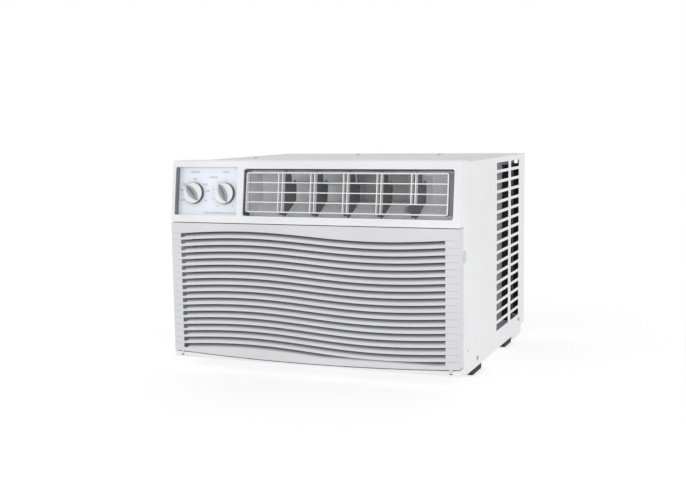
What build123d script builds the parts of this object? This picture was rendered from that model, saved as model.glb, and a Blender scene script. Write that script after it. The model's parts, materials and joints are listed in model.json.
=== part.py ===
"""Window air conditioner with a wave grille, a tilting outlet grid, linked vanes and two rotary controls.

Millimetres. X runs to the right as seen from the room, Y from the room towards the outdoors, Z up.
The origin is at the middle of the unit's box, on the plane of the feet.
"""

import os
from math import cos, pi, radians, sin, tan

from build123d import *

# --- Overall size ---------------------------------------------------------------------------------
WIDTH = 560.0
DEPTH = 535.0
FRONT = -DEPTH / 2
FRAME_BOTTOM = 22.0
FRAME_TOP = 393.0
FRAME_DEPTH = 59.0
WALL = 2.5
SHEET = 1.0
LIP_STEP = 1.5
LIP_HEIGHT = 14.0
GRILLE_POCKET = 26.0

# --- Cabinet --------------------------------------------------------------------------------------
CABINET_X = 277.3
CABINET_TOP = 390.0
CABINET_START = 52.0
SIDE_BOTTOM = 24.7
SLOT_PITCH = 19.7
SLOT_HEIGHT = 14.0
SLOT_ROWS = 17
SLOT_TOP_ROW = 372.0
SLOT_COLUMNS = ((281.4, 383.6), (403.7, 480.6))
PAN_X = 275.8
PAN_SHEET = 1.5
PAN_FLOOR = 12.0
SUMP_FLOOR = 2.5
SUMP_RUN = (438.0, 500.0)
PAN_RIM = 43.0
PAN_START = 60.0
PAN_END = 515.0
SCREW_R = 4.0
SHANK_R = 2.0
SIDE_SCREWS = ((132.0, 28.5), (481.0, 38.5))
TOP_SCREWS = ((-208.0, 220.0), (-57.0, 410.0), (124.0, 410.0))
TOP_RELIEF = 1.2
RELIEF_MIDDLE = 305.0
RELIEF_SIZE = (450.0, 390.0)
RELIEF_CORNER = 22.0
FRAME_SCREW = (54.0, 58.0)
FOOT_X = (257.0, 274.0)
FOOT_RUNS = ((109.0, 175.0), (366.0, 426.0))
BRACKET_HOLES_X = 235.0
BRACKET_HOLES_Y = (100.0, 190.0)
DRAIN = (-90.0, 400.0)
DRAIN_R = 8.0

# --- Sloped upper panel: outlet and controls ------------------------------------------------------
SEAM = 279.0
PANEL_BASE = SEAM + 0.3
TILT = radians(8.13)
PANEL_SETBACK = 0.4
RECESS_X = (-273.5, -144.2)
RECESS_V = (13.4, 103.3)
RECESS_DEPTH = 14.0
PLATE_THICKNESS = 2.0
OUTLET_X = (-131.0, 268.0)
OUTLET_V = (13.4, 100.3)
OUTLET_DEPTH = 26.0
DUCT_START = 29.0
DUCT_STEP = 48.0
DUCT_BEND = 79.0
DUCT_BACK = 165.0
DUCT_FLOOR_V = (15.0, 47.0)
CORD_INLET = (42.0, 62.0)

# --- Outlet grid and vanes ------------------------------------------------------------------------
GRID_X = (-129.0, 256.5)
GRID_V = (20.9, 94.9)
GRID_FRONT = 7.0
GRID_DEPTH = 12.0
GRID_BAR = 2.4
GRID_ROW_BAR = 1.8
GRID_ROW_DEPTH = 2.2
GRID_PITCH = 63.3
GRID_FIRST = -60.4
GRID_TWIN = 7.6
GRID_ROWS = 4
GRID_PIN_R = 1.5
GRID_AXIS_V = sum(GRID_V) / 2
GRID_AXIS_IN = GRID_FRONT + GRID_DEPTH / 2
VANE_COUNT = 5
VANE_FIRST = -65.9
VANE_PITCH = 63.5
VANE_FRONT = 27.5
VANE_PIVOT = 15.0
VANE_LENGTH = 50.0
VANE_THICKNESS = 2.0
VANE_REST = radians(10.5)
VANE_V = (18.5, 96.0)
VANE_PIN_R = 1.5
RUNNING = 0.05
LINK_ARM = 30.0
LINK_V = 79.5
LINK_HEIGHT = 3.0
LEVER_V = (26.2, 35.4)
LEVER_TIP = 4.0

# --- Wave grille ----------------------------------------------------------------------------------
GRILLE_TOP = SEAM - 1.2
GRILLE_DEPTH = 25.5
GRILLE_PLATE = 3.0
ARC_SAG = 8.4
ARC_CENTRE = 25.2
ARC_GAP = 1.1
LIP_FRONT = 2.5
LIP_RELIEF_X = 255.0
AIR_WINDOW_X = 245.0
AIR_WINDOW_Z = (44.0, 268.0)
WAVE_PITCH = 12.36
WAVE_SLOTS = 18
WAVE_HEIGHT = 5.0
WAVE_RISE = 5.9
WAVE_LENGTH = 520.0
WAVE_TOP = 255.5
WAVE_ENDS = (-260.0, 255.0)
HINGE = (3.5, 28.7)
HINGE_PIN_R = 1.2
HINGE_LUG_X = 264.0
HINGE_LUG_HALF = 2.5
HINGE_LUG_R = 2.6
HINGE_PIN_HALF = 8.0
LUG_GAP = HINGE_LUG_HALF + 0.4
FILTER_X = (-240.0, 240.0)
FILTER_Z = (42.0, 268.0)
FILTER_RUN = (9.0, 13.0)
FILTER_BAR = 4.0
NOTCH = (33.0, 227.0)
NOTCH_RADII = (14.0, 11.0)
NOTCH_DEPTH = 6.5

# --- Controls -------------------------------------------------------------------------------------
KNOB_R = 20.0
KNOB_DISC = 9.0
KNOB_GRIP = 8.0
KNOB_GRIP_WIDTH = 13.0
KNOB_V = 54.9
SELECTOR_X = -238.5
THERMOSTAT_X = -173.5
SELECTOR_TURN = 41.0
THERMOSTAT_TURN = 26.0
SHAFT_R = 3.0
KNOB_SOCKET = 7.0
SWITCH_FACE = 16.0

# --- Fans, coils and compressor -------------------------------------------------------------------
FAN_X = 40.0
FAN_Z = 172.0
SHAFT_RUN = (92.0, 420.0)
ROTOR_SHAFT_R = 6.0
BLOWER_R = 74.0
BLOWER_RUN = (94.0, 152.0)
BLOWER_BLADES = 32
BLOWER_HUB_R = 14.0
BLOWER_RING = 12.0
BLOWER_BLADE = (11.0, 1.2, 35.0)
SCROLL_R = 106.0
SCROLL_RUN = (87.0, 162.0)
SCROLL_TOP = 314.6
THROAT_X = (54.0, 146.0)
THROAT_RUN = (96.0, 158.0)
GUIDE_FRONT = 93.0
GUIDES = ((OUTLET_X[0] - 1, -10.0, THROAT_X[0] - 4), (OUTLET_X[1] + 1, 205.0, THROAT_X[1] + 4))
AXIAL_R = 138.0
AXIAL_RUN = (392.0, 424.0)
AXIAL_BLADES = 5
AXIAL_HUB_R = 34.0
AXIAL_BLADE = (104.0, 60.0, 2.0)
AXIAL_BLADE_R = 84.0
AXIAL_PITCH = 26.0
SLINGER = (4.0, 8.0)
MOTOR_R = 60.0
MOTOR_RUN = (215.0, 295.0)
BOSS_R = 16.0
BULKHEAD = 168.0
SHROUD = 428.0
COMPRESSOR = (-165.0, 275.0)
COMPRESSOR_R = 58.0
COMPRESSOR_TOP = 240.0
COMPRESSOR_FEET = 3
COMPRESSOR_BOLTS_R = COMPRESSOR_R + 22
FOOT_PLATE_Z = 26.0
SUCTION_Z = 263.0
DISCHARGE_Z = 330.0
EVAPORATOR = {"x": 232.0, "y": (34.0, 72.0), "z": (48.0, 266.0), "tube": 3.5, "bend": 12.0, "bends": 9}
CONDENSER = {"x": 243.0, "y": (452.0, 498.0), "z": (12.0, 368.0), "tube": 4.0, "bend": 12.5, "bends": 14}

PANEL = Plane(
    origin=(0, FRONT + PANEL_SETBACK, PANEL_BASE),
    x_dir=(1, 0, 0),
    z_dir=(0, -cos(TILT), sin(TILT)),
)


def depth(distance):
    """Y at a distance behind the front face."""
    return FRONT + distance


def on_panel(x, v, inward):
    """World point at x, v up the sloped panel and a distance behind its face."""
    return PANEL.from_local_coords(Vector(x, v, -inward))


def panel_profile(v, inward):
    """(Y, Z) of a point of the sloped panel's cross-section."""
    point = on_panel(0, v, inward)
    return point.Y, point.Z


def box(x, y, z, mode=Mode.ADD):
    """A box between two x, two distances behind the front, and two z."""
    with Locations(((x[0] + x[1]) / 2, depth((y[0] + y[1]) / 2), (z[0] + z[1]) / 2)):
        Box(abs(x[1] - x[0]), abs(y[1] - y[0]), abs(z[1] - z[0]), mode=mode)


def rod_x(x, y, z, radius, mode=Mode.ADD):
    """A cylinder along X between two x."""
    with Locations(Location(((x[0] + x[1]) / 2, depth(y), z), (0, 90, 0))):
        Cylinder(radius, abs(x[1] - x[0]), mode=mode)


def rod_y(x, y, z, radius, mode=Mode.ADD):
    """A cylinder along Y between two distances behind the front."""
    with Locations(Location((x, depth((y[0] + y[1]) / 2), z), (90, 0, 0))):
        Cylinder(radius, abs(y[1] - y[0]), mode=mode)


def rod_z(x, y, z, radius, mode=Mode.ADD):
    """A cylinder along Z between two z."""
    with Locations((x, depth(y), (z[0] + z[1]) / 2)):
        Cylinder(radius, abs(z[1] - z[0]), mode=mode)


def panel_rectangle(x, v, corner=0.0):
    """A rectangle between two x and two v, on the sketch plane in use, with rounded corners if asked."""
    with Locations(((x[0] + x[1]) / 2, (v[0] + v[1]) / 2)):
        if corner:
            RectangleRounded(x[1] - x[0], v[1] - v[0], corner)
        else:
            Rectangle(x[1] - x[0], v[1] - v[0])


def around(middle, half):
    """A span centred on a value."""
    return middle - half, middle + half


def grow(span, amount):
    """A span made wider at both ends."""
    return span[0] - amount, span[1] + amount


# === Base pan and feet ============================================================================
def pan_outline(top):
    """Side profile of the tray, with the deep sump under the condenser."""
    return [
        (depth(PAN_START), PAN_FLOOR),
        (depth(SUMP_RUN[0] - 10), PAN_FLOOR),
        (depth(SUMP_RUN[0]), SUMP_FLOOR),
        (depth(SUMP_RUN[1]), SUMP_FLOOR),
        (depth(SUMP_RUN[1] + 11), SUMP_FLOOR + 5),
        (depth(PAN_END), SUMP_FLOOR + 17),
        (depth(PAN_END), top),
        (depth(PAN_START), top),
    ]


with BuildPart() as base_pan:
    with BuildSketch(Plane.YZ):
        with BuildLine():
            Polyline(*pan_outline(PAN_RIM), close=True)
        make_face()
    extrude(amount=PAN_X, both=True)
    with BuildSketch(Plane.YZ):
        with BuildLine():
            Polyline(*pan_outline(PAN_RIM + 20), close=True)
        make_face()
        offset(amount=-PAN_SHEET, kind=Kind.INTERSECTION)
    extrude(amount=PAN_X - PAN_SHEET, both=True, mode=Mode.SUBTRACT)
    for hole_x in (-BRACKET_HOLES_X, BRACKET_HOLES_X):
        for hole_y in BRACKET_HOLES_Y:
            rod_z(hole_x, hole_y, (PAN_FLOOR - 2, PAN_FLOOR + 4), 3.0, Mode.SUBTRACT)
    rod_z(*DRAIN, (PAN_FLOOR - 8, PAN_FLOOR), DRAIN_R + 2)
    rod_z(*DRAIN, (PAN_FLOOR - 10, PAN_FLOOR + 4), DRAIN_R, Mode.SUBTRACT)
    for screw_y, screw_z in SIDE_SCREWS:
        rod_x((-PAN_X - 1, PAN_X + 1), screw_y, screw_z, SHANK_R + 0.1, Mode.SUBTRACT)

with BuildPart() as mounting_feet:
    for foot_run in FOOT_RUNS:
        for hand in (-1, 1):
            box((hand * FOOT_X[0], hand * FOOT_X[1]), foot_run, (0, PAN_FLOOR))
    chamfer(mounting_feet.edges().group_by(Axis.Z)[0], 3)

# === Cabinet ======================================================================================
with BuildPart() as side_panel_right:
    inner = CABINET_X - SHEET
    box((inner, CABINET_X), (CABINET_START, DEPTH), (SIDE_BOTTOM, CABINET_TOP - 1))
    box((inner - 12, inner), (PAN_START, DEPTH - 1), (CABINET_TOP - 2, CABINET_TOP - 1))
    box((inner - 14, inner), (DEPTH - 1, DEPTH), (PAN_RIM + 2, CABINET_TOP - 1))
    for near, far in SLOT_COLUMNS:
        middle = SLOT_TOP_ROW - SLOT_PITCH * (SLOT_ROWS - 1) / 2
        with BuildSketch(Plane.YZ.offset(CABINET_X + 1)):
            with Locations((depth((near + far) / 2), middle)):
                with GridLocations(1, SLOT_PITCH, 1, SLOT_ROWS):
                    RectangleRounded(far - near, SLOT_HEIGHT, 2.5)
        extrude(amount=-3, mode=Mode.SUBTRACT)
    for screw_y, screw_z in (*SIDE_SCREWS, FRAME_SCREW):
        rod_x((inner - 2, CABINET_X + 1), screw_y, screw_z, SHANK_R + 0.1, Mode.SUBTRACT)

with BuildPart() as side_panel_left:
    mirror(side_panel_right.part, about=Plane.YZ)

with BuildPart() as top_cover:
    box((-CABINET_X, CABINET_X), (CABINET_START, DEPTH), (CABINET_TOP - 1, CABINET_TOP))
    box((-255, 255), (DEPTH - 1, DEPTH), (CABINET_TOP - 24, CABINET_TOP - 1))
    with BuildSketch(Plane.XY.offset(CABINET_TOP)):
        with Locations((0, depth(RELIEF_MIDDLE))):
            RectangleRounded(*RELIEF_SIZE, RELIEF_CORNER)
    extrude(amount=TOP_RELIEF, taper=40)
    with BuildSketch(Plane.XY.offset(CABINET_TOP - 1)):
        with Locations((0, depth(RELIEF_MIDDLE))):
            RectangleRounded(RELIEF_SIZE[0] - 2, RELIEF_SIZE[1] - 2, RELIEF_CORNER - 1)
    extrude(amount=TOP_RELIEF, taper=40, mode=Mode.SUBTRACT)
    for screw_x, screw_y in TOP_SCREWS:
        rod_z(screw_x, screw_y, (CABINET_TOP - 3, CABINET_TOP + 3), SHANK_R + 0.1, Mode.SUBTRACT)


def screw(seat, head):
    """A pan-head screw standing on a plane: its head outwards and its shank inwards."""
    with Locations(seat):
        Cylinder(head, 1.6, align=(Align.CENTER, Align.CENTER, Align.MIN))
        Cylinder(SHANK_R, 5, align=(Align.CENTER, Align.CENTER, Align.MAX))


with BuildPart() as cabinet_screws:
    for hand in (-1, 1):
        for screw_y, screw_z in SIDE_SCREWS:
            screw(Plane((hand * CABINET_X, depth(screw_y), screw_z), z_dir=(hand, 0, 0)), SCREW_R)
    for screw_x, screw_y in TOP_SCREWS:
        screw(Plane((screw_x, depth(screw_y), CABINET_TOP + TOP_RELIEF), z_dir=(0, 0, 1)), SCREW_R)

with BuildPart() as frame_screws:
    for hand in (-1, 1):
        screw(Plane((hand * WIDTH / 2, depth(FRAME_SCREW[0]), FRAME_SCREW[1]), z_dir=(hand, 0, 0)), 3.5)

# === Front frame ==================================================================================
FRAME_OUTLINE = [
    (depth(FRAME_DEPTH), FRAME_BOTTOM),
    (depth(LIP_STEP), FRAME_BOTTOM),
    (depth(LIP_STEP), FRAME_BOTTOM + LIP_HEIGHT),
    (depth(GRILLE_POCKET), FRAME_BOTTOM + LIP_HEIGHT),
    (depth(GRILLE_POCKET), PANEL_BASE),
    panel_profile(0, 0),
    (depth(PANEL_SETBACK) + tan(TILT) * (FRAME_TOP - PANEL_BASE), FRAME_TOP),
    (depth(FRAME_DEPTH), FRAME_TOP),
]
FRAME_CAVITY = [
    (depth(FRAME_DEPTH + 1), FRAME_BOTTOM + WALL),
    (depth(GRILLE_POCKET + WALL), FRAME_BOTTOM + WALL),
    (depth(GRILLE_POCKET + WALL), PANEL_BASE + WALL),
    panel_profile(WALL, WALL),
    (panel_profile(0, WALL)[0] + tan(TILT) * (FRAME_TOP - SEAM - WALL), FRAME_TOP - WALL),
    (depth(FRAME_DEPTH + 1), FRAME_TOP - WALL),
]


def arc_region(centre_z, top):
    """Sketch of everything between a shallow arc, low in the middle, and a straight line above it."""
    side = WIDTH / 2 + 1
    ends_z = centre_z + ARC_SAG
    with BuildSketch() as region:
        with BuildLine():
            ThreePointArc((-side, ends_z), (0, centre_z), (side, ends_z))
            Polyline((side, ends_z), (side, top), (-side, top), (-side, ends_z))
        make_face()
    return region.sketch


def finger_notch(hand):
    """The oval finger hold in a side, from the outside inwards."""
    with BuildPart() as notch:
        with BuildSketch(Plane.YZ.offset(hand * (WIDTH / 2 + 1))):
            with Locations((depth(NOTCH[0]), NOTCH[1])):
                Ellipse(*NOTCH_RADII)
        extrude(amount=-hand * (NOTCH_DEPTH + 1))
    return notch.part


with BuildPart() as front_frame:
    with BuildSketch(Plane.YZ):
        with BuildLine():
            Polyline(*FRAME_OUTLINE, close=True)
        make_face()
    extrude(amount=WIDTH / 2, both=True)
    top_edges = front_frame.edges().group_by(Axis.Z)[-1]
    fillet(top_edges.sort_by(Axis.Y)[:3], 3)
    with BuildSketch(Plane.YZ):
        with BuildLine():
            Polyline(*FRAME_CAVITY, close=True)
        make_face()
    extrude(amount=WIDTH / 2 - WALL, both=True, mode=Mode.SUBTRACT)
    with BuildSketch(Plane.XZ.offset(-depth(1))):
        add(arc_region(ARC_CENTRE - ARC_GAP, FRAME_BOTTOM + LIP_HEIGHT + 1))
    extrude(amount=1.1 - GRILLE_POCKET, mode=Mode.SUBTRACT)
    lip_z = (FRAME_BOTTOM - 1, FRAME_BOTTOM + LIP_HEIGHT + 1)
    box((-LIP_RELIEF_X, LIP_RELIEF_X), (0, LIP_FRONT), lip_z, Mode.SUBTRACT)
    box((-AIR_WINDOW_X, AIR_WINDOW_X), (GRILLE_POCKET - 1, GRILLE_POCKET + 4), AIR_WINDOW_Z, Mode.SUBTRACT)
    # pocket for the control plate
    with BuildSketch(PANEL):
        panel_rectangle(grow(RECESS_X, WALL), grow(RECESS_V, WALL))
    extrude(amount=-RECESS_DEPTH - WALL)
    with BuildSketch(PANEL.offset(1)):
        panel_rectangle(RECESS_X, RECESS_V, 3)
    extrude(amount=-RECESS_DEPTH - 1, mode=Mode.SUBTRACT)
    with BuildSketch(PANEL):
        panel_rectangle(grow(RECESS_X, -6), grow(RECESS_V, -6), 3)
    extrude(amount=-RECESS_DEPTH - WALL - 2, mode=Mode.SUBTRACT)
    # mouth of the outlet, with a low rim around it
    with BuildSketch(PANEL):
        panel_rectangle((OUTLET_X[0] - 3.5, OUTLET_X[1] + 6), (8.5, 104.8), 6)
    extrude(amount=0.8)
    with BuildSketch(PANEL):
        panel_rectangle(grow(OUTLET_X, WALL), grow(OUTLET_V, WALL))
    extrude(amount=-OUTLET_DEPTH)
    with BuildSketch(PANEL.offset(2)):
        panel_rectangle(OUTLET_X, OUTLET_V, 4)
    extrude(amount=-OUTLET_DEPTH - 4, mode=Mode.SUBTRACT)
    with Locations(Location(on_panel(OUTLET_X[0], GRID_AXIS_V, GRID_AXIS_IN), (0, 90, 0))):
        Cylinder(GRID_PIN_R + RUNNING, 2 * WALL + 2, mode=Mode.SUBTRACT)
    # finger holds, hinge seats, screw holes and the cord's hole
    for hand in (-1, 1):
        box((hand * 271, hand * 278), (28.5, 50), (212.5, 241.5))
        add(finger_notch(hand), mode=Mode.SUBTRACT)
        box(around(hand * HINGE_LUG_X, LUG_GAP), (0, 8), (24.6, 40), Mode.SUBTRACT)
        rod_x(around(hand * HINGE_LUG_X, HINGE_PIN_HALF), *HINGE, HINGE_PIN_R, Mode.SUBTRACT)
        rod_x((hand * 270, hand * 281), *FRAME_SCREW, SHANK_R + 0.1, Mode.SUBTRACT)
    rod_x((-281, -274), *CORD_INLET, 7.0, Mode.SUBTRACT)

with BuildPart() as grille_hinge_pins:
    for hand in (-1, 1):
        rod_x(around(hand * HINGE_LUG_X, HINGE_PIN_HALF), *HINGE, HINGE_PIN_R)

with BuildPart() as cord_inlet:
    rod_x((-WIDTH / 2, -WIDTH / 2 + 12), *CORD_INLET, 7.0)
    rod_x((-WIDTH / 2 + WALL, -WIDTH / 2 + 6), *CORD_INLET, 9.0)
    rod_x((-WIDTH / 2 - 1, -WIDTH / 2 + 13), *CORD_INLET, 4.0, Mode.SUBTRACT)

# === Intake grille and filter =====================================================================
with BuildSketch() as wave_slot:
    wave_steps = 12
    wave_x = [WAVE_ENDS[0] + (WAVE_ENDS[1] - WAVE_ENDS[0]) * i / wave_steps for i in range(wave_steps + 1)]
    wave = [-WAVE_RISE * sin(2 * pi * x / WAVE_LENGTH) for x in wave_x]
    upper = [(x, z + WAVE_HEIGHT / 2) for x, z in zip(wave_x, wave)]
    lower = [(x, z - WAVE_HEIGHT / 2) for x, z in zip(wave_x, wave)]
    with BuildLine():
        Spline(*upper)
        Line(upper[-1], lower[-1])
        Spline(*lower)
        Line(lower[0], upper[0])
    make_face()

WAVE_ROWS = [WAVE_TOP - WAVE_PITCH * row for row in range(WAVE_SLOTS)]


def grille_hollow():
    """The space behind the grille's face, inside its walls."""
    with BuildPart() as hollow:
        box((-WIDTH / 2 + WALL, WIDTH / 2 - WALL), (GRILLE_PLATE, GRILLE_DEPTH + 1), (0, GRILLE_TOP - WALL))
        with BuildSketch(Plane.XZ.offset(-depth(0))):
            add(arc_region(ARC_CENTRE + ARC_GAP + WALL, GRILLE_TOP))
        extrude(amount=-GRILLE_DEPTH - 2, mode=Mode.INTERSECT)
    return hollow.part


with BuildPart() as intake_grille:
    box((-WIDTH / 2, WIDTH / 2), (0, GRILLE_DEPTH), (FRAME_BOTTOM, GRILLE_TOP))
    front_edges = intake_grille.edges().filter_by(Axis.Z).group_by(Axis.Y)[0]
    fillet(front_edges, 2)
    with BuildSketch(Plane.XZ.offset(-depth(-1))):
        add(arc_region(ARC_CENTRE + ARC_GAP, GRILLE_TOP + 10))
    extrude(amount=-GRILLE_DEPTH - 2, mode=Mode.INTERSECT)
    add(grille_hollow(), mode=Mode.SUBTRACT)
    with BuildSketch(Plane.XZ.offset(-depth(-1))):
        with Locations(*[(0, row) for row in WAVE_ROWS]):
            add(wave_slot.sketch)
    extrude(amount=-GRILLE_PLATE - 2, mode=Mode.SUBTRACT)
    for hand in (-1, 1):
        for row in WAVE_ROWS:
            box((hand * 262, hand * 281), (-1, 0.7), (row + 2, row + 3), Mode.SUBTRACT)
        add(finger_notch(hand), mode=Mode.SUBTRACT)
        lug_x = around(hand * HINGE_LUG_X, HINGE_LUG_HALF)
        box(lug_x, around(HINGE[0], HINGE_LUG_R), (HINGE[1], 38))
        rod_x(lug_x, *HINGE, HINGE_LUG_R)
        rod_x(grow(lug_x, 5), *HINGE, HINGE_PIN_R + 0.07, Mode.SUBTRACT)


def filter_windows():
    """(x span, z span) of each of the filter's 4 by 3 windows."""
    width = (FILTER_X[1] - FILTER_X[0] - FILTER_BAR) / 4
    height = (FILTER_Z[1] - FILTER_Z[0] - FILTER_BAR) / 3
    windows = []
    for column in range(4):
        left = FILTER_X[0] + FILTER_BAR + column * width
        for row in range(3):
            low = FILTER_Z[0] + FILTER_BAR + row * height
            windows.append(((left, left + width - FILTER_BAR), (low, low + height - FILTER_BAR)))
    return windows


with BuildPart() as filter_frame:
    box(FILTER_X, FILTER_RUN, FILTER_Z)
    for window_x, window_z in filter_windows():
        box(window_x, grow(FILTER_RUN, 1), window_z, Mode.SUBTRACT)

with BuildPart() as filter_mesh:
    for window_x, window_z in filter_windows():
        box(window_x, (10.6, 11.4), window_z)

with BuildPart() as filter_clips:
    for clip_x in (-150, 0, 150):
        for clip_z, grip_z in ((FILTER_Z[0] - 4, FILTER_Z[0] + 3), (FILTER_Z[1] + 4, FILTER_Z[1] - 3)):
            across = (clip_x - 7, clip_x + 7)
            root_z = clip_z + (3.9 if grip_z > clip_z else -3.9)
            box(across, (GRILLE_PLATE, FILTER_RUN[1] + 3), (clip_z, root_z))
            box(across, (FILTER_RUN[1], FILTER_RUN[1] + 3), (clip_z, grip_z))

# === Controls =====================================================================================
with BuildPart() as control_plate:
    with BuildSketch(PANEL.offset(-RECESS_DEPTH)):
        panel_rectangle(grow(RECESS_X, -0.2), grow(RECESS_V, -0.2), 3)
    extrude(amount=PLATE_THICKNESS)
    for knob_x in (SELECTOR_X, THERMOSTAT_X):
        with Locations(Plane(on_panel(knob_x, KNOB_V, RECESS_DEPTH), z_dir=PANEL.z_dir)):
            Cylinder(SHAFT_R + 1.5, 8, mode=Mode.SUBTRACT)


def knob_seat(x, inward):
    """A plane on a knob's axis, facing the room, a distance behind the sloped panel's face."""
    return Plane(on_panel(x, KNOB_V, inward), x_dir=(1, 0, 0), z_dir=PANEL.z_dir)


def knob_shape(turn):
    """A pinch-bar knob standing on XY, its bar turned anticlockwise from upright."""
    with BuildPart() as shape:
        with BuildSketch():
            Circle(KNOB_R)
        extrude(amount=KNOB_DISC, taper=3)
        fillet(shape.edges().group_by(Axis.Z)[-1], 1)
        with BuildSketch(Plane.XY.offset(KNOB_DISC - 1)):
            SlotOverall(2 * KNOB_R - 3, KNOB_GRIP_WIDTH, rotation=90 + turn)
        extrude(amount=KNOB_GRIP + 1, taper=6)
        with BuildSketch():
            Circle(SHAFT_R)
        extrude(amount=KNOB_SOCKET, mode=Mode.SUBTRACT)
    return shape.part


KNOB_BACK = RECESS_DEPTH - PLATE_THICKNESS - 0.5
with BuildPart() as selector_knob:
    with Locations(knob_seat(SELECTOR_X, KNOB_BACK)):
        add(knob_shape(SELECTOR_TURN))

with BuildPart() as thermostat_knob:
    with Locations(knob_seat(THERMOSTAT_X, KNOB_BACK)):
        add(knob_shape(THERMOSTAT_TURN))


def switch_body(x, size, length):
    """A rotary control's case behind the plate, bored for its shaft."""
    with BuildPart() as case:
        with BuildSketch(knob_seat(x, SWITCH_FACE)):
            RectangleRounded(*size, 2)
        extrude(amount=-length)
        with BuildSketch(knob_seat(x, SWITCH_FACE)):
            Circle(SHAFT_R + RUNNING)
        extrude(amount=-12, mode=Mode.SUBTRACT)
    return case.part


SHAFT_LENGTH = SWITCH_FACE + 10 - KNOB_BACK + KNOB_SOCKET
with BuildPart() as selector_shaft:
    with Locations(knob_seat(SELECTOR_X, KNOB_BACK - KNOB_SOCKET)):
        Cylinder(SHAFT_R, SHAFT_LENGTH, align=(Align.CENTER, Align.CENTER, Align.MAX))

with BuildPart() as thermostat_shaft:
    with Locations(knob_seat(THERMOSTAT_X, KNOB_BACK - KNOB_SOCKET)):
        Cylinder(SHAFT_R, SHAFT_LENGTH, align=(Align.CENTER, Align.CENTER, Align.MAX))

with BuildPart() as selector_switch:
    add(switch_body(SELECTOR_X, (30, 34), 24))

with BuildPart() as thermostat_body:
    add(switch_body(THERMOSTAT_X, (32, 40), 26))

BOX_X = (-273.0, -140.0)
BOX_Y = (48.0, 158.0)
BOX_Z = (286.0, 386.0)
with BuildPart() as control_box:
    box(BOX_X, BOX_Y, BOX_Z)
    box(grow(BOX_X, -SHEET), (BOX_Y[0] - 1, BOX_Y[1] - SHEET), grow(BOX_Z, -SHEET), Mode.SUBTRACT)

CAPACITOR = (-238.0, 118.0)
with BuildPart() as run_capacitor:
    rod_z(*CAPACITOR, (BOX_Z[0] + SHEET, BOX_Z[0] + 70), 20)
    for terminal_x in (-8, 8):
        box((CAPACITOR[0] + terminal_x - 3, CAPACITOR[0] + terminal_x + 3), (117.5, 118.5),
            (BOX_Z[0] + 70, BOX_Z[0] + 78))

with BuildPart() as capacitor_clamp:
    rod_z(*CAPACITOR, (320, 332), 21)
    box((CAPACITOR[0] + 20, CAPACITOR[0] + 40), (117, 118), (320, 332))
    rod_z(*CAPACITOR, (319, 333), 20, Mode.SUBTRACT)
    box((CAPACITOR[0] + 39, CAPACITOR[0] + 40), (100, 157), (320, 332))

# === Outlet: seal, duct, grid and vanes ===========================================================
DUCT_INSIDE = [
    panel_profile(DUCT_FLOOR_V[0], DUCT_START),
    panel_profile(DUCT_FLOOR_V[0], DUCT_STEP),
    panel_profile(DUCT_FLOOR_V[1], DUCT_BEND),
    (depth(DUCT_BACK), panel_profile(DUCT_FLOOR_V[1], DUCT_BEND)[1]),
    (depth(DUCT_BACK), panel_profile(OUTLET_V[1], DUCT_BEND)[1]),
    panel_profile(OUTLET_V[1], DUCT_BEND),
    panel_profile(OUTLET_V[1], DUCT_START),
]

with BuildPart() as outlet_duct:
    with BuildSketch(Plane.YZ.offset(OUTLET_X[0] - WALL)):
        with BuildLine():
            Polyline(*DUCT_INSIDE, close=True)
        make_face()
        offset(amount=WALL, kind=Kind.INTERSECTION)
    extrude(amount=OUTLET_X[1] - OUTLET_X[0] + 2 * WALL)
    with BuildSketch(PANEL.offset(-DUCT_START)):
        panel_rectangle(grow(OUTLET_X, 10), grow(OUTLET_V, 20))
    extrude(amount=10, mode=Mode.SUBTRACT)
    with BuildSketch(Plane.YZ.offset(OUTLET_X[0])):
        with BuildLine():
            Polyline(*DUCT_INSIDE, close=True)
        make_face()
    extrude(amount=OUTLET_X[1] - OUTLET_X[0], mode=Mode.SUBTRACT)
    with BuildSketch(PANEL.offset(-DUCT_START + 1)):
        panel_rectangle(OUTLET_X, (DUCT_FLOOR_V[0], OUTLET_V[1]))
    extrude(amount=-4, mode=Mode.SUBTRACT)
    # guide walls that flare from the blower's throat to the sides
    guide_base = Plane.XY.offset(panel_profile(DUCT_FLOOR_V[1], DUCT_BEND)[1] - 1)
    guide_height = (OUTLET_V[1] - DUCT_FLOOR_V[1]) * cos(TILT) + 2
    for side_x, flare_x, throat_x in GUIDES:
        with BuildSketch(guide_base):
            with BuildLine():
                Polyline(
                    (side_x, depth(GUIDE_FRONT)),
                    (flare_x, depth(GUIDE_FRONT)),
                    (throat_x, depth(GUIDE_FRONT + 28)),
                    (throat_x, depth(DUCT_BACK + 1)),
                    (side_x, depth(DUCT_BACK + 1)),
                    close=True,
                )
            make_face()
        extrude(amount=guide_height)
    box(THROAT_X, THROAT_RUN, (SCROLL_TOP - 10, SCROLL_TOP + 10), Mode.SUBTRACT)
    for vane in range(VANE_COUNT):
        with Locations(PANEL):
            with Locations((VANE_FIRST + vane * VANE_PITCH, 58, -VANE_FRONT - VANE_PIVOT)):
                Cylinder(VANE_PIN_R + RUNNING, 96, rotation=(90, 0, 0), mode=Mode.SUBTRACT)

with BuildPart() as outlet_seal:
    with BuildSketch(PANEL.offset(-OUTLET_DEPTH)):
        panel_rectangle(grow(OUTLET_X, WALL), grow(OUTLET_V, WALL), 3)
        with Locations((sum(OUTLET_X) / 2, sum(OUTLET_V) / 2)):
            Rectangle(OUTLET_X[1] - OUTLET_X[0], OUTLET_V[1] - OUTLET_V[0], mode=Mode.SUBTRACT)
    extrude(amount=OUTLET_DEPTH - DUCT_START)

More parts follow.
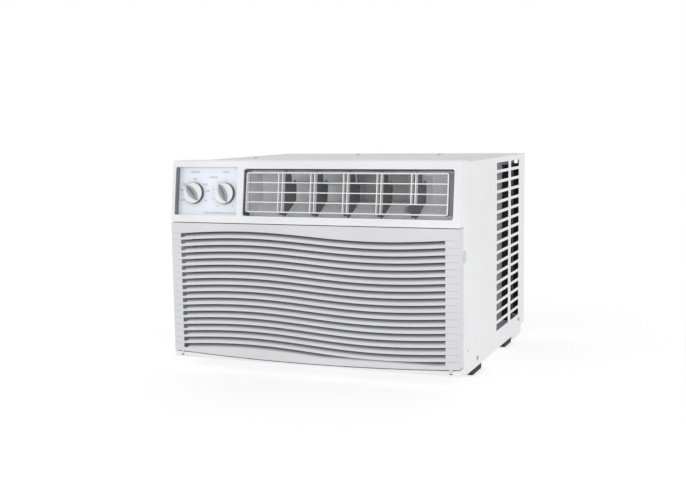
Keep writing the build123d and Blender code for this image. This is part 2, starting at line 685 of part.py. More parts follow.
with BuildPart() as swing_grid:
    with BuildSketch(PANEL.offset(-GRID_FRONT)):
        panel_rectangle(GRID_X, GRID_V, 4)
    extrude(amount=-GRID_DEPTH)
    with BuildSketch(PANEL.offset(-GRID_FRONT + 1)):
        panel_rectangle(grow(GRID_X, -GRID_BAR), grow(GRID_V, -GRID_BAR), 2)
    extrude(amount=-GRID_DEPTH - 2, mode=Mode.SUBTRACT)
    row_pitch = (GRID_V[1] - GRID_V[0] - GRID_BAR) / GRID_ROWS
    with BuildSketch(PANEL.offset(-GRID_FRONT - 0.5)):
        for row in range(1, GRID_ROWS):
            bar_v = GRID_V[0] + GRID_BAR / 2 + row * row_pitch
            panel_rectangle(grow(GRID_X, -1), (bar_v - GRID_ROW_BAR / 2, bar_v + GRID_ROW_BAR / 2))
    extrude(amount=-GRID_ROW_DEPTH)
    for rib in range(VANE_COUNT):
        rib_low = GRID_V[0] + 1 + (row_pitch if rib == VANE_COUNT - 1 else 0)
        for side in (-1, 1):
            rib_x = GRID_FIRST + rib * GRID_PITCH + side * GRID_TWIN / 2
            with BuildSketch(PANEL.offset(-GRID_FRONT - 0.5)):
                panel_rectangle((rib_x - 0.8, rib_x + 0.8), (rib_low, GRID_V[1] - 1))
            extrude(amount=-GRID_DEPTH + 0.5)
    with Locations(Location(on_panel(GRID_X[0] - 1, GRID_AXIS_V, GRID_AXIS_IN), (0, 90, 0))):
        Cylinder(GRID_PIN_R, 5)
    with Locations(Location(on_panel(GRID_X[1] + 2.5, GRID_AXIS_V, GRID_AXIS_IN), (0, 90, 0))):
        Cylinder(GRID_PIN_R, 7)

with BuildPart() as grid_pivot_bracket:
    with BuildSketch(PANEL.offset(-GRID_FRONT - 1)):
        panel_rectangle((258.5, OUTLET_X[1]), (GRID_V[0] + 1, GRID_V[1] - 1))
    extrude(amount=-GRID_DEPTH + 2)
    with Locations(Location(on_panel(263, GRID_AXIS_V, GRID_AXIS_IN), (0, 90, 0))):
        Cylinder(GRID_PIN_R + RUNNING, 12, mode=Mode.SUBTRACT)


def vane_pivot(index):
    """A plane at a vane's pivot, its Y up the vane's axis and its Z towards the room."""
    return Plane(
        on_panel(VANE_FIRST + index * VANE_PITCH, 0, VANE_FRONT + VANE_PIVOT),
        x_dir=PANEL.x_dir * cos(VANE_REST) + PANEL.z_dir * sin(VANE_REST),
        z_dir=PANEL.z_dir * cos(VANE_REST) - PANEL.x_dir * sin(VANE_REST),
    )


def vane_side(index):
    """The sketch plane of a vane's side: X up the vane's axis, Y towards the room."""
    pivot = vane_pivot(index)
    return Plane(pivot.origin, x_dir=pivot.y_dir, z_dir=pivot.x_dir)


def vane_shape(index):
    """A vane with its two pivot pins and its link pin."""
    side = vane_side(index)
    rear = VANE_LENGTH - VANE_PIVOT
    with BuildPart() as shape:
        with BuildSketch(side.offset(-VANE_THICKNESS / 2)):
            with BuildLine():
                Polyline(
                    (VANE_V[0], VANE_PIVOT),
                    (VANE_V[1], VANE_PIVOT),
                    (VANE_V[1], -16),
                    (LINK_V - 1, -20),
                    (LINK_V - 1, -rear),
                    (VANE_V[0] + 30, -rear),
                    (VANE_V[0], -5),
                    (VANE_V[0], VANE_PIVOT),
                )
            make_face()
        extrude(amount=VANE_THICKNESS)
        with Locations(vane_pivot(index)):
            with Locations((0, VANE_V[0] - 2.4, 0), (0, VANE_V[1] + 2.8, 0)):
                Cylinder(VANE_PIN_R, 7.6, rotation=(90, 0, 0))
            with Locations((0, LINK_V + 2.5, -LINK_ARM)):
                Cylinder(VANE_PIN_R, 9, rotation=(90, 0, 0))
    return shape.part


vanes = {}
for index in range(VANE_COUNT):
    with BuildPart() as vane:
        add(vane_shape(index))
        if index == VANE_COUNT - 1:
            with BuildSketch(vane_side(index).offset(-2)):
                with BuildLine():
                    Polyline(
                        (LEVER_V[0], VANE_PIVOT - 6),
                        (LEVER_V[0], VANE_PIVOT + VANE_FRONT - LEVER_TIP),
                        (LEVER_V[1], VANE_PIVOT + VANE_FRONT - LEVER_TIP),
                        (LEVER_V[1], VANE_PIVOT + VANE_FRONT - LEVER_TIP - 9),
                        (LEVER_V[1] + 6, VANE_PIVOT - 2),
                        (LEVER_V[0], VANE_PIVOT - 6),
                    )
                make_face()
            extrude(amount=4)
    vanes["vane_" + str(index + 1)] = vane

with BuildPart() as vane_link_bar:
    first = vane_pivot(0).from_local_coords(Vector(0, LINK_V + 0.6, -LINK_ARM))
    last = vane_pivot(VANE_COUNT - 1).from_local_coords(Vector(0, LINK_V + 0.6, -LINK_ARM))
    level = Plane((first + last) * 0.5, x_dir=(1, 0, 0), z_dir=PANEL.y_dir)
    with BuildSketch(level):
        SlotOverall((last - first).length + 8, 7)
        with GridLocations(VANE_PITCH, 1, VANE_COUNT, 1):
            Circle(VANE_PIN_R + RUNNING, mode=Mode.SUBTRACT)
    extrude(amount=LINK_HEIGHT)

# === Air side: blower, scroll, motor and fan ======================================================
with BuildPart() as blower_scroll:
    scroll_x = (FAN_X - SCROLL_R, FAN_X + SCROLL_R)
    rod_y(FAN_X, SCROLL_RUN, FAN_Z, SCROLL_R)
    box((THROAT_X[0] - WALL, scroll_x[1]), SCROLL_RUN, (FAN_Z, SCROLL_TOP - 2.6))
    rod_y(FAN_X, grow(SCROLL_RUN, -WALL), FAN_Z, SCROLL_R - WALL, Mode.SUBTRACT)
    box((THROAT_X[0], scroll_x[1] - WALL), grow(SCROLL_RUN, -WALL), (FAN_Z, SCROLL_TOP), Mode.SUBTRACT)
    rod_y(FAN_X, (SCROLL_RUN[0] - 1, SCROLL_RUN[0] + WALL + 1), FAN_Z, BLOWER_R - 8, Mode.SUBTRACT)
    rod_y(FAN_X, (SCROLL_RUN[1] - WALL - 1, SCROLL_RUN[1] + 1), FAN_Z, 22, Mode.SUBTRACT)

with BuildPart() as motor_shaft:
    rod_y(FAN_X, SHAFT_RUN, FAN_Z, ROTOR_SHAFT_R)

with BuildPart() as blower_wheel:
    rod_y(FAN_X, (BLOWER_RUN[1] - 2, BLOWER_RUN[1]), FAN_Z, BLOWER_R)
    rod_y(FAN_X, (BLOWER_RUN[1] - 26, BLOWER_RUN[1]), FAN_Z, BLOWER_HUB_R)
    rod_y(FAN_X, (BLOWER_RUN[0], BLOWER_RUN[0] + 4), FAN_Z, BLOWER_R)
    rod_y(FAN_X, (BLOWER_RUN[0] - 1, BLOWER_RUN[0] + 5), FAN_Z, BLOWER_R - BLOWER_RING, Mode.SUBTRACT)
    with BuildSketch(Plane.XZ.offset(-depth(BLOWER_RUN[0] + 1))):
        with Locations((FAN_X, FAN_Z)):
            with PolarLocations(BLOWER_R - BLOWER_RING / 2, BLOWER_BLADES):
                Rectangle(BLOWER_BLADE[0], BLOWER_BLADE[1], rotation=BLOWER_BLADE[2])
    extrude(amount=-(BLOWER_RUN[1] - BLOWER_RUN[0] - 2))
    rod_y(FAN_X, grow(BLOWER_RUN, 2), FAN_Z, ROTOR_SHAFT_R, Mode.SUBTRACT)

with BuildPart() as condenser_fan:
    rod_y(FAN_X, AXIAL_RUN, FAN_Z, AXIAL_HUB_R)
    for blade in range(AXIAL_BLADES):
        turn = blade * 360 / AXIAL_BLADES
        hub = Plane((FAN_X, depth(sum(AXIAL_RUN) / 2), FAN_Z), x_dir=(1, 0, 0), z_dir=(0, -1, 0))
        with Locations(hub):
            with Locations(Rotation(0, 0, turn)):
                with Locations(Location((AXIAL_BLADE_R, 0, 0), (AXIAL_PITCH, 0, 0))):
                    Box(*AXIAL_BLADE)
    ring = Pos(FAN_X, depth(AXIAL_RUN[1] - SLINGER[1] / 2), FAN_Z) * Rotation(90, 0, 0) * (
        Cylinder(AXIAL_R, SLINGER[1], mode=Mode.PRIVATE)
        - Cylinder(AXIAL_R - SLINGER[0], SLINGER[1] + 1, mode=Mode.PRIVATE))
    add(ring)
    rod_y(FAN_X, grow(AXIAL_RUN, 2), FAN_Z, ROTOR_SHAFT_R, Mode.SUBTRACT)

with BuildPart() as fan_motor:
    rod_y(FAN_X, MOTOR_RUN, FAN_Z, MOTOR_R)
    fillet(fan_motor.edges().filter_by(GeomType.CIRCLE), 8)
    rod_y(FAN_X, grow(MOTOR_RUN, 12), FAN_Z, BOSS_R)
    rod_y(FAN_X, grow(MOTOR_RUN, 14), FAN_Z, ROTOR_SHAFT_R + RUNNING, Mode.SUBTRACT)

with BuildPart() as motor_bracket:
    box((FAN_X - 50, FAN_X + 50), (225, 285), (PAN_FLOOR + PAN_SHEET, 30))
    box((FAN_X - 44, FAN_X + 44), (224, 286), (PAN_FLOOR, 26), Mode.SUBTRACT)
    box((FAN_X - 24, FAN_X + 24), (235, 275), (30, FAN_Z - MOTOR_R + 12))
    rod_y(FAN_X, (220, 290), FAN_Z, MOTOR_R + 0.05, Mode.SUBTRACT)

with BuildPart() as bulkhead:
    box((-274, 274), (BULKHEAD, BULKHEAD + 1.5), (PAN_FLOOR + PAN_SHEET, CABINET_TOP - 2.5))
    rod_y(FAN_X, (BULKHEAD - 2, BULKHEAD + 4), FAN_Z, 20, Mode.SUBTRACT)
    rod_y(-256, (BULKHEAD - 2, BULKHEAD + 4), SUCTION_Z, 5.5, Mode.SUBTRACT)

# === Refrigeration ================================================================================
def coil_block(coil):
    """The stack of fins of a coil, as its outer block."""
    box((-coil["x"], coil["x"]), coil["y"], coil["z"])


def coil_bends(coil):
    """Return bends at both ends of a coil, in two columns."""
    span = coil["z"][1] - coil["z"][0]
    pitch = span / (coil["bends"] + 0.5)
    reach = pitch / 4
    for hand in (-1, 1):
        for column, share in enumerate((0.27, 0.73)):
            bend_y = depth(coil["y"][0] + share * (coil["y"][1] - coil["y"][0]))
            for bend in range(coil["bends"]):
                bend_z = coil["z"][0] + pitch * (bend + 0.5 + 0.25 * column)
                face = Plane((hand * coil["x"], bend_y, bend_z), x_dir=(0, 0, 1), z_dir=(0, hand, 0))
                with Locations(face):
                    Torus(reach, coil["tube"], major_angle=180, align=(Align.CENTER, Align.MIN, Align.CENTER))


with BuildPart() as evaporator_fins:
    coil_block(EVAPORATOR)

with BuildPart() as evaporator_bends:
    coil_bends(EVAPORATOR)

with BuildPart() as condenser_fins:
    coil_block(CONDENSER)

with BuildPart() as condenser_bends:
    coil_bends(CONDENSER)

COILS_TRAY = (250.0, (31.0, 77.0), (44.0, 56.0))
with BuildPart() as drip_tray:
    tray_x, tray_y, tray_z = COILS_TRAY
    box((-tray_x, tray_x), tray_y, tray_z)
    tray_hollow_z = (tray_z[0] + WALL, tray_z[1] + 1)
    box((-tray_x + WALL, tray_x - WALL), grow(tray_y, -WALL), tray_hollow_z, Mode.SUBTRACT)
    for rest_x in (-200, 0, 200):
        box((rest_x - 4, rest_x + 4), grow(tray_y, -WALL), (tray_z[0] + WALL, EVAPORATOR["z"][0]))

with BuildPart() as fan_shroud:
    box((-268, 268), (SHROUD, SHROUD + 1.5), (PAN_FLOOR + PAN_SHEET, 372))
    rod_y(FAN_X, (SHROUD - 24, SHROUD + 1.5), FAN_Z, AXIAL_R + 7)
    rod_y(FAN_X, (SHROUD - 25, SHROUD + 3), FAN_Z, AXIAL_R + 5.5, Mode.SUBTRACT)
    rod_y(-262, (SHROUD - 2, SHROUD + 3), DISCHARGE_Z, 4.5, Mode.SUBTRACT)

with BuildPart() as condenser_feet:
    for side_x in (-200, 200):
        box((side_x - 20, side_x + 20), grow(CONDENSER["y"], -4), (SUMP_FLOOR + PAN_SHEET, CONDENSER["z"][0]))

with BuildPart() as compressor:
    rod_z(*COMPRESSOR, (FOOT_PLATE_Z + 3, COMPRESSOR_TOP), COMPRESSOR_R)
    fillet(compressor.edges().filter_by(GeomType.CIRCLE).sort_by(Axis.Z)[-1], 34)
    fillet(compressor.edges().filter_by(GeomType.CIRCLE).sort_by(Axis.Z)[0], 12)
    with BuildSketch(Plane((COMPRESSOR[0], depth(COMPRESSOR[1]), FOOT_PLATE_Z))):
        with PolarLocations(COMPRESSOR_R + 12, COMPRESSOR_FEET, start_angle=90):
            SlotOverall(46, 24)
        Circle(COMPRESSOR_R - 14)
        with PolarLocations(COMPRESSOR_BOLTS_R, COMPRESSOR_FEET, start_angle=90):
            Circle(7, mode=Mode.SUBTRACT)
    extrude(amount=3.2)

with BuildPart() as compressor_grommets:
    with Locations((COMPRESSOR[0], depth(COMPRESSOR[1]), PAN_FLOOR + PAN_SHEET)):
        with PolarLocations(COMPRESSOR_BOLTS_R, COMPRESSOR_FEET, start_angle=90):
            Cylinder(10, FOOT_PLATE_Z - PAN_FLOOR - PAN_SHEET, align=(Align.CENTER, Align.CENTER, Align.MIN))
            Cylinder(6.8, FOOT_PLATE_Z - PAN_FLOOR + 3, align=(Align.CENTER, Align.CENTER, Align.MIN))
            Cylinder(3.2, 60, mode=Mode.SUBTRACT)

with BuildPart() as compressor_bolts:
    with Locations((COMPRESSOR[0], depth(COMPRESSOR[1]), PAN_FLOOR + PAN_SHEET)):
        with PolarLocations(COMPRESSOR_BOLTS_R, COMPRESSOR_FEET, start_angle=90):
            Cylinder(3, 22, align=(Align.CENTER, Align.CENTER, Align.MIN))
            with Locations((0, 0, 17.5)):
                Cylinder(8, 5, align=(Align.CENTER, Align.CENTER, Align.MIN))

with BuildPart() as terminal_cover:
    box((COMPRESSOR[0] + COMPRESSOR_R - 6, COMPRESSOR[0] + COMPRESSOR_R + 16), (255, 295), (150, 200))
    fillet(terminal_cover.edges().filter_by(Axis.Z), 4)
    rod_z(*COMPRESSOR, (140, 210), COMPRESSOR_R, Mode.SUBTRACT)

ACCUMULATOR = (-232.0, 222.0)
with BuildPart() as accumulator:
    rod_z(*ACCUMULATOR, (70, 190), 22)
    fillet(accumulator.edges().filter_by(GeomType.CIRCLE), 14)

FILTER_DRIER = (-120.0, 400.0)
with BuildPart() as filter_drier:
    rod_z(*FILTER_DRIER, (120, 200), 12)
    fillet(filter_drier.edges().filter_by(GeomType.CIRCLE), 8)


def pipe(points, radius, bend):
    """A copper tube along straight runs joined by bends; points are (x, distance behind the front, z)."""
    with BuildPart() as tube:
        with BuildLine() as route:
            FilletPolyline(*[(x, depth(y), z) for x, y, z in points], radius=bend)
        start = route.line @ 0
        with BuildSketch(Plane(start, z_dir=route.line % 0)):
            Circle(radius)
        sweep()
    return tube.part


with BuildPart() as discharge_tube:
    discharge_run = [
        (-158, 282, COMPRESSOR_TOP),
        (-158, 282, DISCHARGE_Z),
        (-262, 340, DISCHARGE_Z),
        (-262, 520, DISCHARGE_Z),
        (-225, 520, DISCHARGE_Z),
        (-225, CONDENSER["y"][1], DISCHARGE_Z),
    ]
    add(pipe(discharge_run, 4, 12))

with BuildPart() as suction_tube:
    add(pipe([(*ACCUMULATOR, 190), (*ACCUMULATOR, SUCTION_Z), (-256, 180, SUCTION_Z), (-256, 53, SUCTION_Z),
              (-EVAPORATOR["x"], 53, SUCTION_Z)], 5, 10))

INLET_Z = 54.0
with BuildPart() as compressor_inlet:
    gap = Vector(COMPRESSOR) - Vector(ACCUMULATOR)
    inlet = Vector(COMPRESSOR) - gap.normalized() * (COMPRESSOR_R + 0.05)
    add(pipe([(*ACCUMULATOR, 70), (*ACCUMULATOR, INLET_Z), (inlet.X, inlet.Y, INLET_Z)], 6, 8))

with BuildPart() as capillary_tube:
    add(pipe([(-120, 400, 119), (-120, 400, 84), (-60, 300, 84), (-60, 190, 84), (-190, 185, 84),
              (-190, 185, 270)], 1.5, 8))

with BuildPart() as thermostat_bulb:
    rod_x((-200, -110), EVAPORATOR["y"][0] - 3.1, 200, 3)

PIECES = {
    "base_pan": base_pan,
    "mounting_feet": mounting_feet,
    "side_panel_left": side_panel_left,
    "side_panel_right": side_panel_right,
    "top_cover": top_cover,
    "cabinet_screws": cabinet_screws,
    "frame_screws": frame_screws,
    "front_frame": front_frame,
    "grille_hinge_pins": grille_hinge_pins,
    "cord_inlet": cord_inlet,
    "intake_grille": intake_grille,
    "filter_frame": filter_frame,
    "filter_mesh": filter_mesh,
    "filter_clips": filter_clips,
    "control_plate": control_plate,
    "selector_knob": selector_knob,
    "thermostat_knob": thermostat_knob,
    "selector_shaft": selector_shaft,
    "thermostat_shaft": thermostat_shaft,
    "selector_switch": selector_switch,
    "thermostat_body": thermostat_body,
    "thermostat_bulb": thermostat_bulb,
    "control_box": control_box,
    "run_capacitor": run_capacitor,
    "capacitor_clamp": capacitor_clamp,
    "outlet_seal": outlet_seal,
    "outlet_duct": outlet_duct,
    "swing_grid": swing_grid,
    "grid_pivot_bracket": grid_pivot_bracket,
    **vanes,
    "vane_link_bar": vane_link_bar,
    "blower_scroll": blower_scroll,
    "blower_wheel": blower_wheel,
    "motor_shaft": motor_shaft,
    "condenser_fan": condenser_fan,
    "fan_motor": fan_motor,
    "motor_bracket": motor_bracket,
    "bulkhead": bulkhead,
    "fan_shroud": fan_shroud,
    "evaporator_fins": evaporator_fins,
    "evaporator_bends": evaporator_bends,
    "drip_tray": drip_tray,
    "condenser_fins": condenser_fins,
    "condenser_bends": condenser_bends,
    "condenser_feet": condenser_feet,
    "compressor": compressor,
    "compressor_grommets": compressor_grommets,
    "compressor_bolts": compressor_bolts,
    "terminal_cover": terminal_cover,
    "accumulator": accumulator,
    "filter_drier": filter_drier,
    "discharge_tube": discharge_tube,
    "suction_tube": suction_tube,
    "compressor_inlet": compressor_inlet,
    "capillary_tube": capillary_tube,
}

os.makedirs("parts", exist_ok=True)
for name, piece in PIECES.items():
    piece.part.label = name
    export_step(piece.part, "parts/" + name + ".step")
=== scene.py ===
"""Looks of the window air conditioner: materials, fine pieces, stage, light and camera. Metres."""

import json
import math

import bmesh
import bpy
from mathutils import Matrix, Vector


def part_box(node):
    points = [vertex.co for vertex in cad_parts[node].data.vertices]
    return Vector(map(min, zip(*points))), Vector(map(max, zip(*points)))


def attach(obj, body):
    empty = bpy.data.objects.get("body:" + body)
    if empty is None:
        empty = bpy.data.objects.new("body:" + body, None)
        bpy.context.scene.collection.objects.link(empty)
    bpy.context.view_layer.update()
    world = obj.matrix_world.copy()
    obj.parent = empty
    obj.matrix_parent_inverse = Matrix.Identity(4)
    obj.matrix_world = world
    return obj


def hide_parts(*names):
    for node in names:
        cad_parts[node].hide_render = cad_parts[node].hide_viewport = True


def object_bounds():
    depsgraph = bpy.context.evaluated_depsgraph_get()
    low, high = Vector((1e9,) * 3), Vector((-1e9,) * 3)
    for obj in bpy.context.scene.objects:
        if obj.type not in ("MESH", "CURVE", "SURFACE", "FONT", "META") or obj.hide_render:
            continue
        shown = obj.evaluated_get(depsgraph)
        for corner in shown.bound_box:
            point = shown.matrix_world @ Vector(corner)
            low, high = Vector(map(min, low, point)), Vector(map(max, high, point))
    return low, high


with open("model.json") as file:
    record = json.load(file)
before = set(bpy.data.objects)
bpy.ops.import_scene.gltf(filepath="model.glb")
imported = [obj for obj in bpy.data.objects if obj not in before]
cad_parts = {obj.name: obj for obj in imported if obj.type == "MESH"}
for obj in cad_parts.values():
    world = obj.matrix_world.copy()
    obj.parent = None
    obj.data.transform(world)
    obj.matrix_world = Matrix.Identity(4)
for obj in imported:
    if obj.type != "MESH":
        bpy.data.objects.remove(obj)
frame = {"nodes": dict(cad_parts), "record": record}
cad_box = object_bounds()
MM = 0.001

# --- Camera ---------------------------------------------------------------------------------------
CAMERA_AT = Vector((0.7564, -2.0053, 0.4585))
CAMERA_YAW = math.radians(21.62)
CAMERA_PITCH = math.radians(6.78)
CAMERA_ROLL = math.radians(-0.777)
LENS = 55.88
SENSOR_WIDTH = 36.0


def add_camera():
    """A camera in front of the unit's right side, turned left, tipped down and then rolled."""
    forward = Vector((
        -math.sin(CAMERA_YAW) * math.cos(CAMERA_PITCH),
        math.cos(CAMERA_YAW) * math.cos(CAMERA_PITCH),
        -math.sin(CAMERA_PITCH),
    ))
    right = Vector((math.cos(CAMERA_YAW), math.sin(CAMERA_YAW), 0))
    up = right.cross(forward)
    rolled_right = right * math.cos(CAMERA_ROLL) + up * math.sin(CAMERA_ROLL)
    rolled_up = up * math.cos(CAMERA_ROLL) - right * math.sin(CAMERA_ROLL)
    data = bpy.data.cameras.new("camera")
    data.lens = LENS
    data.sensor_width = SENSOR_WIDTH
    camera = bpy.data.objects.new("camera", data)
    bpy.context.scene.collection.objects.link(camera)
    turn = Matrix((rolled_right, rolled_up, -forward)).transposed().to_4x4()
    camera.matrix_world = Matrix.Translation(CAMERA_AT) @ turn
    bpy.context.scene.camera = camera


# --- Materials ------------------------------------------------------------------------------------
class Look:
    """A procedural material under construction: one Principled shader fed by object-space textures."""

    def __init__(self, name, roughness, metallic=0.0, specular=0.5, coat=0.0):
        self.material = bpy.data.materials.new(name)
        self.material.use_nodes = True
        self.tree = self.material.node_tree
        self.shader = self.tree.nodes["Principled BSDF"]
        self.shader.inputs["Roughness"].default_value = roughness
        self.shader.inputs["Metallic"].default_value = metallic
        self.shader.inputs["Specular IOR Level"].default_value = specular
        self.shader.inputs["Coat Weight"].default_value = coat
        self.place = self.tree.nodes.new("ShaderNodeTexCoord").outputs["Object"]

    def node(self, kind, **values):
        """A new node with its sockets or settings filled in by name."""
        made = self.tree.nodes.new(kind)
        for key, value in values.items():
            if key in made.inputs:
                made.inputs[key].default_value = value
            else:
                setattr(made, key, value)
        return made

    def link(self, source, target):
        self.tree.links.new(source, target)

    def noise(self, scale, detail=3.0, rough=0.5, stretch=(1, 1, 1)):
        """Noise at some cells per metre, stretched along the axes."""
        mapping = self.tree.nodes.new("ShaderNodeMapping")
        mapping.inputs["Scale"].default_value = stretch
        self.link(self.place, mapping.inputs["Vector"])
        made = self.tree.nodes.new("ShaderNodeTexNoise")
        made.inputs["Scale"].default_value = scale
        made.inputs["Detail"].default_value = detail
        made.inputs["Roughness"].default_value = rough
        self.link(mapping.outputs["Vector"], made.inputs["Vector"])
        return made.outputs["Fac"]

    def ramp(self, source, low, high, start=0.35, end=0.65):
        """A colour that runs from low to high as the source runs from start to end."""
        made = self.tree.nodes.new("ShaderNodeValToRGB")
        made.color_ramp.elements[0].position = start
        made.color_ramp.elements[1].position = end
        made.color_ramp.elements[0].color = (*low, 1)
        made.color_ramp.elements[1].color = (*high, 1)
        self.link(source, made.inputs["Fac"])
        return made.outputs["Color"]

    def mix(self, share, first, second, kind="MIX"):
        """Two colours mixed by a share between 0 and 1."""
        made = self.tree.nodes.new("ShaderNodeMix")
        made.data_type = "RGBA"
        made.blend_type = kind
        for socket, value in ((made.inputs[0], share), (made.inputs[6], first), (made.inputs[7], second)):
            if isinstance(value, bpy.types.NodeSocket):
                self.link(value, socket)
            else:
                socket.default_value = value
        return made.outputs[2]

    def colour(self, source):
        self.link(source, self.shader.inputs["Base Color"])

    def rough_between(self, source, low, high):
        """Roughness that follows a texture between two values."""
        made = self.tree.nodes.new("ShaderNodeMapRange")
        made.inputs["To Min"].default_value = low
        made.inputs["To Max"].default_value = high
        self.link(source, made.inputs["Value"])
        self.link(made.outputs["Result"], self.shader.inputs["Roughness"])

    def bump(self, source, height_mm, strength=1.0):
        """Surface relief of a height in millimetres, stacked on any earlier relief."""
        made = self.tree.nodes.new("ShaderNodeBump")
        made.inputs["Strength"].default_value = strength
        made.inputs["Distance"].default_value = height_mm * MM
        self.link(source, made.inputs["Height"])
        normal = self.shader.inputs["Normal"]
        if normal.is_linked:
            self.link(normal.links[0].from_socket, made.inputs["Normal"])
        self.link(made.outputs["Normal"], normal)


def tint(value, amount):
    """A colour made lighter or darker."""
    return tuple(min(1.0, channel * amount) for channel in value)


# Where painted shade starts to darken the slats, and where it is darkest, as y in metres.
SLAT_SHADE_STARTS = -0.2673
SLAT_SHADE_DARKEST = -0.2642


def moulded(name, base, roughness=0.42, grain=900, relief=0.04, spread=0.03):
    """Moulded plastic: fine spark-eroded grain, faint flow clouds and uneven gloss."""
    look = Look(name, roughness)
    clouds = look.noise(7, 2)
    look.colour(look.ramp(clouds, tint(base, 1 - spread), tint(base, 1 + spread)))
    look.rough_between(look.noise(60, 4), roughness - 0.05, roughness + 0.08)
    look.bump(look.noise(grain, 2, 0.6), relief)
    return look.material


def shaded_slats(name, base):
    """The grille's plastic, darkened with painted shade where it lies deeper behind its face."""
    look = Look(name, 0.45)
    unshaded = look.ramp(look.noise(7, 2), tint(base, 0.98), tint(base, 1.02))
    split = look.node("ShaderNodeSeparateXYZ")
    look.link(look.place, split.inputs["Vector"])
    reach = {"From Min": SLAT_SHADE_STARTS, "From Max": SLAT_SHADE_DARKEST, "To Min": 0.0, "To Max": 0.8}
    deep = look.node("ShaderNodeMapRange", **reach)
    look.link(split.outputs["Y"], deep.inputs["Value"])
    # Painted shade: the colour runs towards dark grey the deeper a point lies behind the grille's face.
    look.colour(look.mix(deep.outputs["Result"], unshaded, (0.20, 0.20, 0.215, 1)))
    look.rough_between(look.noise(60, 4), 0.4, 0.53)
    look.bump(look.noise(900, 2, 0.6), 0.04)
    return look.material


def painted(name, base):
    """Baked enamel on sheet steel: orange peel, faint handling marks and slight waviness."""
    look = Look(name, 0.4, specular=0.35)
    clouds = look.noise(5, 3)
    look.colour(look.ramp(clouds, tint(base, 0.975), tint(base, 1.02)))
    look.rough_between(look.noise(25, 5), 0.34, 0.5)
    look.bump(look.noise(420, 2, 0.4), 0.05)
    look.bump(look.noise(9, 1), 0.25, 0.5)
    return look.material


def metal(name, base, roughness, scale=300, stretch=(1, 1, 1), spread=0.12):
    """Bare or plated metal with grain along one axis and dull patches."""
    look = Look(name, roughness, metallic=1.0)
    look.colour(look.ramp(look.noise(scale / 8, 5), tint(base, 1 - spread), tint(base, 1 + spread)))
    look.rough_between(look.noise(scale / 5, 4, stretch=stretch), roughness - 0.08, roughness + 0.15)
    look.bump(look.noise(scale, 3, stretch=stretch), 0.03)
    return look.material


def finned(name, base):
    """Thin coated fin stock, dulled by dust that gathers in streaks down the coil."""
    look = Look(name, 0.5, metallic=0.2)
    streaks = look.noise(40, 5, 0.6, stretch=(1, 1, 0.12))
    look.colour(look.ramp(streaks, tint(base, 0.8), tint(base, 1.12), 0.25, 0.75))
    look.rough_between(look.noise(120, 3), 0.42, 0.65)
    look.bump(look.noise(600, 2, stretch=(1, 1, 6)), 0.05)
    return look.material


def rubber(name, base, roughness=0.75):
    """Dusty black rubber or foam."""
    look = Look(name, roughness, specular=0.3)
    look.colour(look.ramp(look.noise(90, 5, 0.7), base, tint(base, 2.2), 0.3, 0.8))
    look.bump(look.noise(700, 3), 0.08)
    return look.material


def beaded_foam(name, base):
    """Expanded polystyrene: soft cells pressed together."""
    look = Look(name, 0.62, specular=0.3)
    cells = look.tree.nodes.new("ShaderNodeTexVoronoi")
    cells.inputs["Scale"].default_value = 320
    look.link(look.place, cells.inputs["Vector"])
    look.colour(look.ramp(cells.outputs["Distance"], tint(base, 1.03), tint(base, 0.93), 0.0, 0.8))
    look.bump(cells.outputs["Distance"], -0.08)
    return look.material


# The look of each of the record's material slots.
MATERIALS = {
    "painted_steel": painted("painted_steel", (0.80, 0.80, 0.805)),
    "white_plastic": moulded("white_plastic", (0.80, 0.80, 0.81)),
    "grille_plastic": moulded("grille_plastic", (0.66, 0.66, 0.68), 0.45),
    "knob_plastic": moulded("knob_plastic", (0.82, 0.82, 0.83), 0.34, relief=0.02),
    "control_print": moulded("control_print", (0.83, 0.865, 0.94), 0.3, 1500, 0.01, 0.02),
    "grey_plastic": moulded("grey_plastic", (0.19, 0.19, 0.198), 0.4),
    "black_plastic": moulded("black_plastic", (0.022, 0.022, 0.024), 0.45),
    "filter_plastic": moulded("filter_plastic", (0.12, 0.13, 0.15), 0.5),
    "filter_mesh": moulded("filter_mesh", (0.06, 0.065, 0.075), 0.6),
    "duct_foam": beaded_foam("duct_foam", (0.90, 0.90, 0.905)),
    "black_foam": rubber("black_foam", (0.02, 0.02, 0.02), 0.9),
    "black_rubber": rubber("black_rubber", (0.018, 0.018, 0.018)),
    "zinc_steel": metal("zinc_steel", (0.55, 0.54, 0.50), 0.35),
    "galvanised_steel": metal("galvanised_steel", (0.48, 0.50, 0.51), 0.42, 160),
    "black_enamel": moulded("black_enamel", (0.014, 0.014, 0.016), 0.22, 250, 0.06),
    "aluminium": metal("aluminium", (0.62, 0.63, 0.65), 0.4, 400, (1, 1, 12)),
    "copper": metal("copper", (0.62, 0.30, 0.17), 0.3, 200),
}
